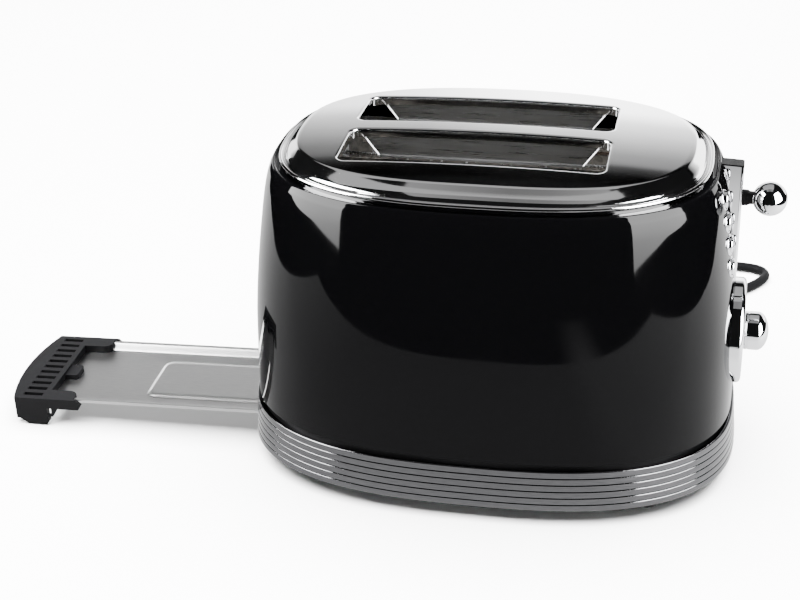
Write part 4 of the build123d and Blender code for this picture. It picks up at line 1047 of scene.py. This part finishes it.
def lay_floor():
    """A wide pale floor. Shiny surfaces see the table cards in its place."""
    finish, shader = new_finish("pale_floor", 0.0, roughness=0.9)
    mottle = grain(shader, 3, detail=2)
    tint(shader, mottle, (0.87, 0.87, 0.87), (0.89, 0.89, 0.89))
    floor = flat_card("floor", level(-6, 6, -6, 9, 0), finish)
    floor.visible_glossy = False


def glowing_card(name, corners, brightness, **shades):
    """A card that only shiny surfaces see. Along each named axis its brightness is multiplied by a line
    through (place in metres, share) stops."""
    finish = bpy.data.materials.new(name)
    finish.use_nodes = True
    tree = finish.node_tree
    tree.nodes.clear()
    place = tree.nodes.new("ShaderNodeTexCoord")
    split = tree.nodes.new("ShaderNodeSeparateXYZ")
    glow = tree.nodes.new("ShaderNodeEmission")
    out = tree.nodes.new("ShaderNodeOutputMaterial")
    tree.links.new(place.outputs["Object"], split.inputs["Vector"])
    tree.links.new(glow.outputs["Emission"], out.inputs["Surface"])
    so_far = None
    for axis, stops in shades.items():
        span = tree.nodes.new("ShaderNodeMapRange")
        ramp = tree.nodes.new("ShaderNodeValToRGB")
        low, high = stops[0][0], stops[-1][0]
        span.inputs["From Min"].default_value = low
        span.inputs["From Max"].default_value = high
        elements = ramp.color_ramp.elements
        for index, (where, share) in enumerate(stops):
            stop = elements[index] if index < 2 else elements.new((where - low) / (high - low))
            stop.position = (where - low) / (high - low)
            stop.color = (share, share, share, 1)
        tree.links.new(split.outputs[axis], span.inputs["Value"])
        tree.links.new(span.outputs["Result"], ramp.inputs["Fac"])
        product = tree.nodes.new("ShaderNodeMath")
        product.operation = "MULTIPLY"
        if so_far:
            tree.links.new(so_far, product.inputs[0])
        else:
            product.inputs[0].default_value = brightness
        tree.links.new(ramp.outputs["Color"], product.inputs[1])
        so_far = product.outputs["Value"]
    tree.links.new(so_far, glow.inputs["Strength"])
    card = flat_card(name, corners, finish)
    card.visible_camera = False
    card.visible_diffuse = False
    card.visible_shadow = False
    card.visible_transmission = False


def soft_light(name, height, size, brightness):
    """A square soft light that faces straight down and lights matt surfaces alone; its power follows from how
    bright its face is."""
    data = bpy.data.lights.new(name, "AREA")
    data.size = size
    data.energy = brightness * math.pi * size ** 2
    lamp = bpy.data.objects.new(name, data)
    collection.objects.link(lamp)
    lamp.location = (0, 0, height)
    lamp.visible_glossy = False


def dim_surround():
    """A very faint even glow all round."""
    world = bpy.data.worlds.new("studio")
    bpy.context.scene.world = world
    world.use_nodes = True
    world.node_tree.nodes["Background"].inputs["Color"].default_value = (0.95, 0.97, 1.0, 1)
    world.node_tree.nodes["Background"].inputs["Strength"].default_value = 0.01


TABLE_Z = 0.0004
BOARD_Z = 1.66
BOX_TOP, BOX_GLOW = 1.3, 48.0

lay_floor()
dim_surround()
soft_light("fill_above", 2.4, 3.5, 40)
glowing_card("table_sheen", [(-0.475, -0.33, TABLE_Z), (0.41, -0.33, TABLE_Z), (0.507, 0.03, TABLE_Z),
                             (0.52, 0.6, TABLE_Z), (-0.7, 0.6, TABLE_Z), (-0.54, 0.06, TABLE_Z)], 6.0,
             X=[(-0.6, 0.6), (-0.2, 0.26), (0.0, 0.24), (0.09, 0.26), (0.14, 0.38), (0.2, 0.42), (0.5, 0.75)],
             Y=[(-0.33, 0.8), (-0.15, 0.85), (-0.09, 1.0), (0.6, 1.0)])
glowing_card("table_corner", level(0.09, 0.19, -0.46, -0.33, TABLE_Z), 1.8,
             X=[(0.09, 0.0), (0.13, 1.0), (0.15, 1.0), (0.19, 0.0)], Y=[(-0.46, 0.3), (-0.33, 0.9)])
glowing_card("overhead_board", level(-1.2, 0.56, 0.0, 1.5, BOARD_Z), 0.6, Y=[(0.0, 1.0), (1.5, 0.8)])
glowing_card("overhead_front", level(-0.5, 0.5, -0.5, 0.0, BOARD_Z), 0.42,
             X=[(-0.5, 1.0), (-0.1, 0.5), (0.1, 0.6), (0.5, 1.0)])
glowing_card("back_board", upright((-2.6, 2.2, 0.0), (2.6, 2.2, 0.0), 1.7), 9.0,
             X=[(-0.9, 0.4), (-0.5, 0.5), (-0.2, 0.92), (0.05, 0.85), (0.3, 0.7)],
             Z=[(0.0, 1.0), (0.75, 0.9), (0.9, 0.4), (1.08, 0.22), (1.2, 0.13), (1.3, 0.08), (1.41, 0.065),
                (1.45, 0.012), (1.56, 0.0)])
glowing_card("box_left", upright((-0.758, -0.76, -0.087), (-1.11, -0.013, 0.174), BOX_TOP), BOX_GLOW,
             Z=[(-0.1, 0.40), (0.3, 1.0)])
glowing_card("box_right", upright((0.711, -0.798, -0.087), (1.10, -0.122, 0.16), BOX_TOP), BOX_GLOW,
             Z=[(-0.1, 0.42), (0.3, 1.0)])
